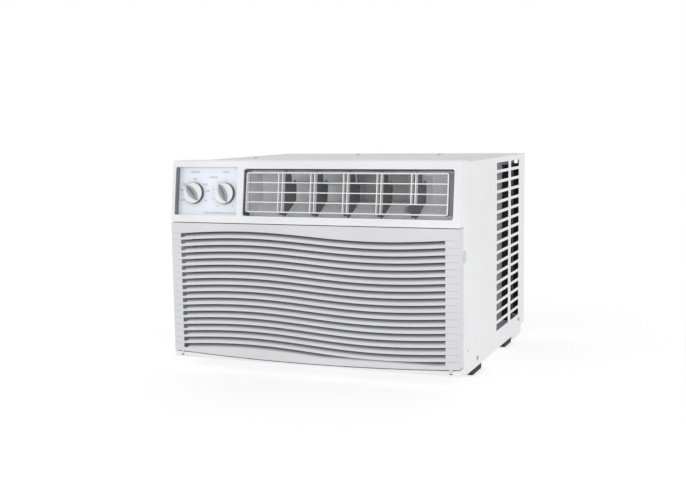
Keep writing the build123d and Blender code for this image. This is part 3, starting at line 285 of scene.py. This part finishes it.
# Finishes of single pieces: the slot of the record that each belongs to, and its own look.
FINISHES = {
    # The slats' plastic, with painted shade in its deeper parts.
    "slat_plastic": ("grille_plastic", shaded_slats("slat_plastic", (0.66, 0.66, 0.68))),
    # Painted shade on the knobs: the skirt for the disc's side wall in shadow, the grip's grey for the
    # bar's shaded faces, the flank for the bar's darker shaded right side.
    "knob_shade": ("knob_plastic", moulded("knob_shade", (0.07, 0.075, 0.09), 0.4)),
    "knob_grip": ("knob_plastic", moulded("knob_grip", (0.36, 0.365, 0.38), 0.4)),
    "knob_flank_shade": ("knob_plastic", moulded("knob_flank_shade", (0.17, 0.175, 0.19), 0.4)),
    # Painted shade for the inner walls of the outlet's mouth.
    "mouth_painted_shade": ("grey_plastic", moulded("mouth_painted_shade", (0.13, 0.13, 0.14), 0.45)),
    "mark_grey": ("control_print", moulded("mark_grey", (0.42, 0.43, 0.46), 0.5)),
    # Painted shade for the control recess's left wall.
    "recess_shade": ("grey_plastic", moulded("recess_shade", (0.20, 0.205, 0.22), 0.5)),
    "dark_zinc": ("zinc_steel", metal("dark_zinc", (0.34, 0.34, 0.33), 0.4)),
    "fin_stock": ("aluminium", finned("fin_stock", (0.60, 0.61, 0.63))),
    "fin_core": ("aluminium", finned("fin_core", (0.44, 0.45, 0.47))),
}


def dress_cad():
    """Give every CAD node the look of its slot; the top cover gets a darker copy of the enamel as painted
    shade and the fan shroud a lighter one as painted light.
    """
    for part in frame["record"]["subparts"]:
        node = frame["nodes"][part["node"]]
        for index in range(len(node.material_slots)):
            node.material_slots[index].material = MATERIALS[part["material_slot"]]
    # Painted shade: a darker copy of the enamel on the top cover, for the shade on its top face.
    frame["nodes"]["top_cover"].material_slots[0].material = painted("top_painted_shade", (0.66, 0.66, 0.67))
    # Painted light: a lighter copy of the enamel on the fan shroud, for light it lacks inside the
    # cabinet.
    frame["nodes"]["fan_shroud"].material_slots[0].material = painted("shroud_painted_light", (0.93, 0.93, 0.935))


# --- Shared frame ---------------------------------------------------------------------------------
# The front face is the low y side of the whole object. Places are in millimetres from here on.
FRONT = round(cad_box[0][1] / MM, 1)
PANEL_SLOPE = math.radians(8.13)
PANEL_FOOT = Vector((0, FRONT + 0.4, 279.3))
PANEL_UP = Vector((0, math.sin(PANEL_SLOPE), math.cos(PANEL_SLOPE)))
PANEL_IN = Vector((0, PANEL_UP.z, -PANEL_UP.y))
X_AXIS, Y_AXIS, Z_AXIS = Vector((1, 0, 0)), Vector((0, 1, 0)), Vector((0, 0, 1))


def at(x, d, z):
    """A point from millimetres: x, distance behind the front face, z."""
    return Vector((x, FRONT + d, z)) * MM


def on_panel(x, v, inward):
    """A point x across, v up the sloped panel and a distance behind its face."""
    return (PANEL_FOOT + Vector((x, 0, 0)) + PANEL_UP * v + PANEL_IN * inward) * MM


def node_span(name):
    """A node's lowest and highest corners in millimetres: x, distance behind the front face, z."""
    return [(round(x / MM, 2), round(y / MM - FRONT, 2), round(z / MM, 2)) for x, y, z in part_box(name)]


class Shape:
    """A mesh under construction."""

    def __init__(self):
        self.mesh = bmesh.new()

    def loft(self, rings):
        """Skin a run of rings with the same count of points, each ring closed, with flat ends."""
        made = [[self.mesh.verts.new(point) for point in ring] for ring in rings]
        count = len(made[0])
        for first, second in zip(made, made[1:]):
            for i in range(count):
                j = (i + 1) % count
                self.mesh.faces.new((first[i], first[j], second[j], second[i]))
        self.mesh.faces.new(made[0][::-1])
        self.mesh.faces.new(made[-1])

    def block(self, low, high, place=at, edge=0.0):
        """A box between two corners of a place function's space, its edges along the first axis eased."""
        (x0, y0, z0), (x1, y1, z1) = low, high
        section = [(y0 + edge, z0), (y1 - edge, z0), (y1, z0 + edge), (y1, z1 - edge),
                   (y1 - edge, z1), (y0 + edge, z1), (y0, z1 - edge), (y0, z0 + edge)]
        if not edge:
            section = [(y0, z0), (y1, z0), (y1, z1), (y0, z1)]
        self.loft([[place(x, y, z) for y, z in section] for x in (x0, x1)])

    def tube(self, points, radius, sides=8):
        """A tube along points, its rings square to the route."""
        rings = []
        side = None
        for index, point in enumerate(points):
            ahead = points[min(index + 1, len(points) - 1)] - points[max(index - 1, 0)]
            ahead.normalize()
            if side is None:
                side = ahead.orthogonal().normalized()
            side = (side - ahead * side.dot(ahead)).normalized()
            other = ahead.cross(side)
            turns = [2 * math.pi * i / sides for i in range(sides)]
            rings.append([point + (side * math.cos(t) + other * math.sin(t)) * radius for t in turns])
        self.loft(rings)

    def turned(self, profile, seat, sides=48):
        """A solid of revolution: profile of (radius, height) pairs about the third axis of a seat."""
        centre, first, second, axis = seat
        rings = []
        for radius, height in profile:
            ring = []
            for i in range(sides):
                t = 2 * math.pi * i / sides
                spoke = first * math.cos(t) + second * math.sin(t)
                ring.append(centre + (spoke * radius + axis * height) * MM)
            rings.append(ring)
        self.loft(rings)

    def data(self, name):
        """The finished mesh, its faces turned outwards."""
        bmesh.ops.recalc_face_normals(self.mesh, faces=self.mesh.faces)
        data = bpy.data.meshes.new(name)
        self.mesh.to_mesh(data)
        self.mesh.free()
        return data

    def done(self, name, body, slot, smooth=0.0, hides=()):
        """Turn the mesh into a piece that rides on a body, smooth where its faces meet below an angle."""
        data = self.data(name)
        slot, look = FINISHES[slot] if slot in FINISHES else (slot, MATERIALS[slot])
        data.materials.append(look)
        made = bpy.data.objects.new(name, data)
        bpy.context.scene.collection.objects.link(made)
        if smooth:
            data.shade_smooth()
            data.set_sharp_from_angle(angle=math.radians(smooth))
        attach(made, body)
        if hides:
            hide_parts(*hides)
        return made


def applied(node, cutter, name):
    """A copy of a node's mesh with a cutter's volume taken out."""
    whole = bmesh.new()
    whole.from_mesh(node.data)
    bmesh.ops.remove_doubles(whole, verts=whole.verts, dist=1e-6)
    merged = bpy.data.meshes.new(name)
    whole.to_mesh(merged)
    whole.free()
    copy = bpy.data.objects.new(name, merged)
    tool = bpy.data.objects.new(name + "_tool", cutter)
    for thing in (copy, tool):
        bpy.context.scene.collection.objects.link(thing)
    cut = copy.modifiers.new("cut", "BOOLEAN")
    cut.operation = "DIFFERENCE"
    cut.solver = "EXACT"
    cut.object = tool
    graph = bpy.context.evaluated_depsgraph_get()
    result = bpy.data.meshes.new_from_object(copy.evaluated_get(graph))
    for thing in (copy, tool):
        bpy.data.objects.remove(thing)
    return result


# --- Intake grille --------------------------------------------------------------------------------
WAVE_TOP = 255.5
WAVE_PITCH = 12.36
WAVE_SLOTS = 18
WAVE_HALF = 2.5
WAVE_LEFT = -260.0
WAVE_RIGHT = 255.0
WAVE_HEIGHT = 5.9
WAVE_LENGTH = 520.0
WINDOW_TOP = 266.0
WINDOW_BOTTOM = 37.0
SLAT_COLUMNS = 104
LIP_BACK = 3.0
CROWN_DEPTH = 7.6
CROWN_FOOT = 8.6
CROWN_RISE = 7.0
FADE_START = 7.0
FADE_RUN = 3.0
FADE_LEAST = 0.12
NOTCH_GAP = 0.3
NOTCH_END = 261.7
NOTCH_DEPTH = 0.7
NOTCH_HEIGHTS = (2.0, 3.0)
CUT_PROUD = 1.0
CUT_PAST = 0.001


def wave(x):
    """Height of a slot's middle line above its row."""
    return -WAVE_HEIGHT * math.sin(2 * math.pi * x / WAVE_LENGTH)


def slat_section(x, row):
    """(d, z) outline of the slat under slot row - 1 and above slot row, at one x.

    Its crown curves back behind the slot above, and flattens towards the left margin.
    """
    share = min(1.0, max(FADE_LEAST, (x - WAVE_LEFT - FADE_START) / FADE_RUN))
    if row == 0:
        crown = [(0.0, WINDOW_TOP), (LIP_BACK, WINDOW_TOP)]
    else:
        mid = WAVE_TOP - WAVE_PITCH * (row - 1) + wave(x)
        low = max(mid + WAVE_HALF - CROWN_FOOT, WINDOW_BOTTOM + 0.5)
        top = low + CROWN_RISE * share
        steps = [k / 10 for k in range(1, 11)]
        crown = [(0.0, low)]
        for t in steps:
            crown.append((CROWN_DEPTH * share * t ** 1.35, low + (top - low) * (1 - (1 - t) ** 1.15)))
        crown += [(max(LIP_BACK, CROWN_DEPTH * share) + 0.5, top - 0.6), (LIP_BACK + 0.3, low - 0.4)]
    if row == WAVE_SLOTS:
        sill = [(LIP_BACK, WINDOW_BOTTOM), (0.0, WINDOW_BOTTOM)]
    else:
        edge = WAVE_TOP - WAVE_PITCH * row + wave(x) + WAVE_HALF
        sill = [(LIP_BACK, edge + 0.6), (LIP_BACK, edge + 0.25), (LIP_BACK - 0.4, edge)]
        sill += [(0.25, edge), (0.0, edge + 0.3)]
    return crown + sill


def add_grille():
    """The grille's shell with a window for its slats and a notch beside each slot, and the slats."""
    cutter = Shape()
    cutter.block((WAVE_LEFT, -CUT_PROUD, WINDOW_BOTTOM), (WAVE_RIGHT, LIP_BACK + CUT_PAST, WINDOW_TOP))
    for row in range(WAVE_SLOTS):
        line = WAVE_TOP - WAVE_PITCH * row
        low, high = (line + height for height in NOTCH_HEIGHTS)
        cutter.block((WAVE_RIGHT + NOTCH_GAP, -CUT_PROUD, low), (NOTCH_END, NOTCH_DEPTH, high))
    shell = Shape()
    shell.mesh.from_mesh(applied(frame["nodes"]["intake_grille"], cutter.data("cutter"), "shell"))
    shell.done("grille_shell", "grille", "grille_plastic", 0, ("intake_grille",))
    slats = Shape()
    span = WAVE_RIGHT - WAVE_LEFT
    columns = [WAVE_LEFT + span * i / SLAT_COLUMNS for i in range(SLAT_COLUMNS + 1)]
    for extra in range(int(FADE_RUN) + 1):
        columns.append(WAVE_LEFT + FADE_START + extra)
    columns.sort()
    for row in range(WAVE_SLOTS + 1):
        slats.loft([[at(x, d, z) for d, z in slat_section(x, row)] for x in columns])
    slats.done("grille_slats", "grille", "slat_plastic", 40)


FILTER_COLUMNS = 4
FILTER_ROWS = 3
FILTER_BAR = 4.0
UPRIGHTS = 40
CROSSINGS = 24
THREAD_HALF = 0.22
UPRIGHT_RUN = (10.75, 11.15)
CROSSING_RUN = (10.9, 11.3)
THREAD_TUCK = 0.5


def add_filter():
    """A net in each window of the filter's frame, its crossing threads laid over the upright ones."""
    low, high = node_span("filter_frame")
    net = Shape()
    wide = (high[0] - low[0] - FILTER_BAR) / FILTER_COLUMNS
    tall = (high[2] - low[2] - FILTER_BAR) / FILTER_ROWS
    for column in range(FILTER_COLUMNS):
        for row in range(FILTER_ROWS):
            x0 = low[0] + FILTER_BAR + column * wide
            z0 = low[2] + FILTER_BAR + row * tall
            x1, z1 = x0 + wide - FILTER_BAR, z0 + tall - FILTER_BAR
            for k in range(1, UPRIGHTS):
                x = x0 + (x1 - x0) * k / UPRIGHTS
                net.block((x - THREAD_HALF, UPRIGHT_RUN[0], z0 - THREAD_TUCK),
                          (x + THREAD_HALF, UPRIGHT_RUN[1], z1 + THREAD_TUCK))
            for k in range(1, CROSSINGS):
                z = z0 + (z1 - z0) * k / CROSSINGS
                net.block((x0 - THREAD_TUCK, CROSSING_RUN[0], z - THREAD_HALF),
                          (x1 + THREAD_TUCK, CROSSING_RUN[1], z + THREAD_HALF))
    net.done("filter_net", "grille", "filter_mesh", 0, ("filter_mesh",))


# --- Controls -------------------------------------------------------------------------------------
# Each knob's place across the panel, and how far it is turned from upright, in degrees.
KNOBS = {"selector": (-238.5, 41.0), "thermostat": (-173.5, 26.0)}
KNOB_V = 54.9
KNOB_R = 20.0
KNOB_BACK = 11.5
KNOB_SIDES = 72
BAR_BASE = 9.2
BAR_HALF = 7.4
BAR_INSET = 0.9
POINTER_X = (-1.0, -0.4)
POINTER_RISE = (16.3, 16.8)


def knob_seat(x, inward, turn):
    """Centre, across, up and outwards at a knob, turned anticlockwise by an angle in degrees."""
    t = math.radians(turn)
    across = X_AXIS * math.cos(t) + PANEL_UP * math.sin(t)
    up = PANEL_UP * math.cos(t) - X_AXIS * math.sin(t)
    return on_panel(x, KNOB_V, inward), across, up, -PANEL_IN


def lens(half_length, half_width, count=20):
    """Outline of a leaf with pointed ends, long way up."""
    points = []
    for side in (1, -1):
        for k in range(count):
            t = -1 + 2 * k / count
            y = t * half_length * side
            points.append((side * half_width * (1 - abs(t) ** 2.2), y))
    return points


def bar_outline(size):
    """Outline of the pinch bar at one level, as a share of its full size."""
    return lens((KNOB_R - BAR_INSET) * size, BAR_HALF * (1 - (1 - size) * 2.0))


def add_knob(name, x, turn):
    """A white disc on a skirt in painted shade, with a leaf-shaped pinch bar in painted shade, a darker
    painted-shade flank over the bar's right half, and its pointer line.
    """
    r = KNOB_R
    seat = knob_seat(x, KNOB_BACK, turn)
    centre, across, up, out = seat
    # Painted shade: the skirt's dark grey stands for the disc's side wall in shadow.
    skirt = Shape()
    skirt.turned([(r - 3, 0), (r - 0.5, 0), (r, 0.5), (r - 0.3, 6.8), (r - 1.2, 7.3), (r - 3, 7.3)],
                 seat, KNOB_SIDES)
    skirt.done(name + "_knob_skirt", name, "knob_shade", 30, (name + "_knob",))
    cap = Shape()
    cap.turned([(4, 6.6), (r - 1.4, 6.6), (r - 0.9, 7.2), (r - 1.0, 8.2), (r - 1.7, 8.9), (r - 3.2, 9.2),
                (r - 9, 9.5), (4, 9.7)], seat, KNOB_SIDES)
    cap.done(name + "_knob_cap", name, "knob_plastic", 30)

    def place(a, b, c):
        """A point across, along and above the knob's seat."""
        return centre + (across * a + up * b + out * c) * MM

    # Painted shade: the bar's grey stands for its faces in shadow.
    bar = Shape()
    rings = []
    for rise, size in ((0.0, 1.0), (1.2, 0.985), (4.6, 0.93), (6.2, 0.9), (7.0, 0.84), (7.45, 0.74)):
        rings.append([place(a, b, BAR_BASE + rise) for a, b in bar_outline(size)])
    bar.loft(rings)
    bar.done(name + "_knob_bar", name, "knob_grip", 30)
    # Painted shade: a darker flank over the bar's right half, the side that lies in shadow.
    flank = Shape()
    rings = []
    for rise, size in ((7.0, 0.86), (7.5, 0.80), (7.6, 0.74)):
        rings.append([place(max(0.4, a), b, BAR_BASE + rise) for a, b in bar_outline(size)])
    flank.loft(rings)
    flank.done(name + "_knob_flank", name, "knob_flank_shade", 0)
    pointer = Shape()
    low = (POINTER_X[0], r - 9, POINTER_RISE[0])
    high = (POINTER_X[1], r - 4.4, POINTER_RISE[1])
    pointer.block(low, high, place, 0.1)
    pointer.done(name + "_knob_pointer", name, "knob_plastic")


PRINT_RUN = (11.85, 12.05)
DASH = (1.9, 1.1)
DASH_PITCH = (2.6, 1.9)
HEADING_V = 95.5


def add_dials():
    """Printed marks around both knobs, with no words: groups of dashes and two long rules."""
    marks = Shape()

    def bar(x, v, wide, tall):
        low = (x - wide / 2, v - tall / 2, PRINT_RUN[0])
        high = (x + wide / 2, v + tall / 2, PRINT_RUN[1])
        marks.block(low, high, on_panel)

    def dashes(x, v, count, rows=2):
        for row in range(rows):
            for k in range(count):
                bar(x + (k - (count - 1) / 2) * DASH_PITCH[0], v - DASH_PITCH[1] * row, *DASH)

    selector_x, thermostat_x = (x for x, _ in KNOBS.values())
    for turn, count in ((-120, 3), (-78, 3), (-52, 3), (0, 3), (52, 4), (80, 3), (120, 2)):
        t = math.radians(turn)
        dashes(selector_x + 28.5 * math.sin(t), KNOB_V + 1 + 27 * math.cos(t), count)
    for step in range(9):
        t = math.radians(-144 + 36 * step)
        dashes(thermostat_x + 27.5 * math.sin(t), KNOB_V + 27.5 * math.cos(t), 1)
    dashes(selector_x, HEADING_V, 7)
    dashes(thermostat_x, HEADING_V, 5)
    dashes(-200, 86.0, 7)
    bar(-184, 19.6, 66, 0.7)
    bar(-184, 18.0, 66, 0.7)
    marks.done("dial_marks", "chassis", "mark_grey")
    # Painted shade: a dark strip on the control recess's left wall, where it lies in shadow.
    shade = Shape()
    shade.block((-273.3, 14.2, 0.9), (-271.6, 102.4, 11.9), on_panel)
    shade.done("recess_wall_shade", "chassis", "recess_shade")


# --- Outlet ---------------------------------------------------------------------------------------
LINER_X = (-130.95, 267.95)
LINER_V = (13.45, 100.25)
LINER_RUN = (2.0, 25.8)
LINER_WALL = 0.6
VANE_X = -65.9
VANE_PITCH = 63.5
LEVER_TURN = math.radians(10.5)
LEVER_PIVOT = 42.5
RIDGE_V = 27.4
RIDGE_PITCH = 2.6
RIDGE_TALL = 1.3
RIDGE_RUN = (29.5, 39.2)


def add_mouth_shade_sheet():
    """A thin sheet of painted shade on the four inner walls of the outlet's mouth, where they lie in
    shadow.
    """
    (x0, x1), (v0, v1), (front, back), thick = LINER_X, LINER_V, LINER_RUN, LINER_WALL
    liner = Shape()
    liner.block((x0, v0, front), (x0 + thick, v1, back), on_panel)
    liner.block((x1 - thick, v0, front), (x1, v1, back), on_panel)
    liner.block((x0 + thick, v0, front), (x1 - thick, v0 + thick, back), on_panel)
    liner.block((x0 + thick, v1 - thick, front), (x1 - thick, v1, back), on_panel)
    liner.done("mouth_shade_sheet", "chassis", "mouth_painted_shade")


def add_lever():
    """Three ridges across the tip of the vanes' lever."""
    t = LEVER_TURN
    across = X_AXIS * math.cos(t) + PANEL_IN * -math.sin(t)
    ahead = PANEL_IN * -math.cos(t) + X_AXIS * -math.sin(t)
    pivot = on_panel(VANE_X + VANE_PITCH * 4, 0, LEVER_PIVOT)

    def place(a, b, c):
        return pivot + (across * a + PANEL_UP * b + ahead * c) * MM

    ridges = Shape()
    for k in range(3):
        v = RIDGE_V + RIDGE_PITCH * k
        ridges.block((-2.6, v, RIDGE_RUN[0]), (2.6, v + RIDGE_TALL, RIDGE_RUN[1]), place, 0.3)
    ridges.done("lever_ridges", "vane_lever", "grey_plastic", 30)


# --- Coils ----------------------------------------------------------------------------------------
FIN_PITCH = 2.1
FIN_HALF = 0.12
FIN_EDGE = 0.15
FIN_STEPS = 12
FIN_RIPPLE = 0.3
CORE_INSET = (0.4, 1.2, 0.2)
COLUMN_SHARES = (0.27, 0.73)


def add_coil(name, bends, radius):
    """Thin fins with rippled edges in the place of a CAD block, their core and the tubes through them."""
    (_, *low), (half, *high) = node_span(name)
    d, z = zip(low, high)
    fins = Shape()
    count = int(2 * half / FIN_PITCH)
    for k in range(count + 1):
        x = -half + 2 * half * k / count
        x = max(-half + FIN_EDGE, min(half - FIN_EDGE, x))
        outline = [(d[0], z[0])]
        for s in range(FIN_STEPS + 1):
            outline.append((d[1] - (FIN_RIPPLE if s % 2 else 0.0), z[0] + (z[1] - z[0]) * s / FIN_STEPS))
        outline.append((d[0], z[1]))
        fins.loft([[at(x + side * FIN_HALF, y, h) for y, h in outline] for side in (-1, 1)])
    fins.done(name + "_stack", "chassis", "fin_stock", 0, (name,))
    core = Shape()
    dx, dd, dz = CORE_INSET
    core.block((-half + dx, d[0] + dd, z[0] + dz), (half - dx, d[1] - dd, z[1] - dz), at, 0.5)
    core.done(name + "_louvres", "chassis", "fin_core")
    pipes = Shape()
    for y, h in coil_tubes(d, z, bends):
        pipes.tube([at(-half, y, h), at(half, y, h)], radius * MM, 10)
    pipes.done(name + "_tubes", "chassis", "copper", 40)


def coil_tubes(d, z, bends):
    """Where the straight tubes of a coil run: two for each return bend of each column."""
    pitch = (z[1] - z[0]) / (bends + 0.5)
    places = []
    for column, share in enumerate(COLUMN_SHARES):
        y = d[0] + share * (d[1] - d[0])
        for bend in range(bends):
            middle = z[0] + pitch * (bend + 0.5 + 0.25 * column)
            places += [(y, middle - pitch / 4), (y, middle + pitch / 4)]
    return places


# The foam strips at the condenser's sides: nearest and farthest depth, and inner edge. Their black is
# partly real foam and partly painted shade for the dim inside seen through the side slots.
SEALS = ((422.0, 427.9, 255.0), (429.8, 435.0, 250.5), (499.0, 506.0, 250.5))
SEAL_OUTER = 275.5
SEAL_Z = (46.0, 370.0)


def add_coils():
    """Both coils as fins and tubes, the condenser's end plates and the foam that seals its sides; the
    black of plates and foam is partly painted shade for the inside seen through the side slots.
    """
    add_coil("condenser_fins", 14, 3.9)
    add_coil("evaporator_fins", 9, 3.4)
    (_, *low), (_, *high) = node_span("condenser_fins")
    cond_d, cond_z = zip(low, high)
    seals = Shape()
    for hand in (-1, 1):
        for near, far, inner in SEALS:
            x0, x1 = sorted((hand * inner, hand * SEAL_OUTER))
            seals.block((x0, near, SEAL_Z[0]), (x1, far, SEAL_Z[1]), at, 0.8)
    seals.done("coil_seals", "chassis", "black_foam", 30)
    # Partly painted shade: the end plates are black for the dark seen through the side slots.
    plates = Shape()
    for hand in (-1, 1):
        x0, x1 = sorted((hand * 243.05, hand * 244.2))
        plates.block((x0, cond_d[0] - 3, cond_z[0]), (x1, cond_d[1] + 3, cond_z[1]))
        x0, x1 = sorted((hand * 243.1, hand * 250.0))
        plates.block((x0, cond_d[1] + 2.0, cond_z[0]), (x1, cond_d[1] + 3, cond_z[1]))
        plates.block((x0, cond_d[0] - 3, cond_z[0]), (x1, cond_d[0] - 2, cond_z[1]))
    plates.done("coil_plates", "chassis", "black_plastic", 0)


# --- Small hardware -------------------------------------------------------------------------------
SCREW_R = 4.0
FRAME_SCREW_R = 3.5
SIDE_SCREWS = ((132.0, 28.5), (481.0, 38.5))
TOP_SCREWS = ((-208.0, 220.0), (-57.0, 410.0), (124.0, 410.0))
SIDE_FACE = 277.3
TOP_FACE = 391.2
FRAME_SCREW = (54.0, 58.0)
FRAME_FACE = 278.6
FOOT_X = (257.0, 274.0)
FOOT_RUNS = ((109.0, 175.0), (366.0, 426.0))
FOOT_TOP = 11.9
RIB_PITCH = 6.5
COMPRESSOR_AT = (-165.0, 275.0, 150.0)


def screw_head(shape, seat, radius, sides=48, rings=14):
    """A domed head with a cross recess, as rings of points whose height drops inside the cross."""
    centre, first, second, axis = seat
    turns = [2 * math.pi * i / sides for i in range(sides)]
    grid = [[centre + (first * math.cos(t) + second * math.sin(t)) * radius * MM for t in turns]]
    for k in range(rings):
        share = 1 - k / rings
        ring = []
        for t in turns:
            a, b = share * radius * math.cos(t), share * radius * math.sin(t)
            height = 0.5 + 1.0 * math.sqrt(max(0.0, 1 - share ** 4))
            across, along = min(abs(a), abs(b)), max(abs(a), abs(b))
            if across < 0.16 * radius and along < 0.62 * radius:
                height -= 0.9
            ring.append(centre + (first * a + second * b + axis * height) * MM)
        grid.append(ring)
    shape.loft(grid)


def add_screws():
    """Cross-recessed heads in the place of the plain CAD screws."""
    cabinet = Shape()
    for hand in (-1, 1):
        for d, z in SIDE_SCREWS:
            turn = math.radians(20 + d)
            first = Y_AXIS * math.cos(turn) + Z_AXIS * math.sin(turn)
            seat = (at(hand * SIDE_FACE, d, z), first, X_AXIS.cross(first) * hand, X_AXIS * hand)
            screw_head(cabinet, seat, SCREW_R)
    for x, d in TOP_SCREWS:
        turn = math.radians(30 + x)
        first = X_AXIS * math.cos(turn) + Y_AXIS * math.sin(turn)
        screw_head(cabinet, (at(x, d, TOP_FACE), first, Z_AXIS.cross(first), Z_AXIS), SCREW_R)
    cabinet.done("cabinet_screw_heads", "chassis", "dark_zinc", 25, ("cabinet_screws",))
    frame_set = Shape()
    for hand in (-1, 1):
        seat = (at(hand * FRAME_FACE, *FRAME_SCREW), Y_AXIS, Z_AXIS * hand, X_AXIS * hand)
        screw_head(frame_set, seat, FRAME_SCREW_R)
    frame_set.done("frame_screw_heads", "chassis", "dark_zinc", 25, ("frame_screws",))


def add_feet():
    """Ribbed rubber feet."""
    feet = Shape()
    for near, far in FOOT_RUNS:
        for hand in (-1, 1):
            x0, x1 = sorted(hand * x for x in FOOT_X)
            outline = [(near, FOOT_TOP), (near, 3), (near + 3, 0)]
            for k in range(8):
                y = near + 5.5 + RIB_PITCH * k
                outline += [(y, 0), (y + 0.6, 1.6), (y + 1.6, 1.6), (y + 2.2, 0)]
            outline += [(far - 3, 0), (far, 3), (far, FOOT_TOP)]
            feet.loft([[at(x, y, z) for y, z in outline] for x in (x0, x0 + 0.8, x1 - 0.8, x1)])
    feet.done("ribbed_feet", "chassis", "black_rubber", 0, ("mounting_feet",))


def add_compressor_seam():
    """The weld bead around the compressor's shell."""
    bead = Shape()
    half = [(57.5, 2.6), (58.6, 2.2), (59.6, 1.2)]
    profile = [(radius, -rise) for radius, rise in half] + [(59.9, 0)] + half[::-1]
    bead.turned(profile, (at(*COMPRESSOR_AT), X_AXIS, Y_AXIS, Z_AXIS), 72)
    bead.done("compressor_weld", "chassis", "black_enamel", 60)


# --- Stage, light and camera ----------------------------------------------------------------------
FLOOR_HALF = 6
FLOOR_GLOW = 0.56


def add_stage():
    """A pale floor and a plain surrounding, white at the horizon and greyer overhead."""
    look = Look("floor", 0.9, specular=0.1)
    look.colour(look.ramp(look.noise(3, 2), (0.52, 0.52, 0.52), (0.54, 0.54, 0.54)))
    look.shader.inputs["Emission Color"].default_value = (1, 1, 1, 1)
    look.shader.inputs["Emission Strength"].default_value = FLOOR_GLOW
    mesh = bpy.data.meshes.new("floor")
    grid = bmesh.new()
    bmesh.ops.create_grid(grid, x_segments=8, y_segments=8, size=FLOOR_HALF)
    grid.to_mesh(mesh)
    grid.free()
    floor = bpy.data.objects.new("floor", mesh)
    mesh.materials.append(look.material)
    bpy.context.scene.collection.objects.link(floor)
    world = bpy.data.worlds.new("studio")
    world.use_nodes = True
    tree = world.node_tree
    direction = tree.nodes.new("ShaderNodeTexCoord")
    split = tree.nodes.new("ShaderNodeSeparateXYZ")
    ramp = tree.nodes.new("ShaderNodeValToRGB")
    ramp.color_ramp.elements[0].position = 0.25
    ramp.color_ramp.elements[0].color = (1, 1, 1, 1)
    ramp.color_ramp.elements[1].position = 0.95
    ramp.color_ramp.elements[1].color = (0.7, 0.7, 0.72, 1)
    tree.links.new(direction.outputs["Generated"], split.inputs["Vector"])
    tree.links.new(split.outputs["Z"], ramp.inputs["Fac"])
    tree.links.new(ramp.outputs["Color"], tree.nodes["Background"].inputs["Color"])
    tree.nodes["Background"].inputs["Strength"].default_value = 1.0
    bpy.context.scene.world = world


def add_light(name, place, aim, size, power):
    """A soft square studio light."""
    data = bpy.data.lights.new(name, "AREA")
    data.size = size
    data.energy = power
    light = bpy.data.objects.new(name, data)
    light.location = place
    light.rotation_euler = (Vector(aim) - Vector(place)).to_track_quat("-Z", "Y").to_euler()
    bpy.context.scene.collection.objects.link(light)


add_camera()
add_stage()
add_light("key", (-1.6, -1.6, 2.2), (0, 0, 0.2), 1.6, 4)
add_light("side", (1.2, -2.5, 0.75), (0.1, 0, 0.2), 0.6, 6.5)
dress_cad()
add_grille()
add_filter()
for knob_name, (knob_x, knob_turn) in KNOBS.items():
    add_knob(knob_name, knob_x, knob_turn)
add_dials()
add_mouth_shade_sheet()
add_lever()
add_coils()
add_screws()
add_feet()
add_compressor_seam()
bpy.context.scene.view_settings.view_transform = "Standard"
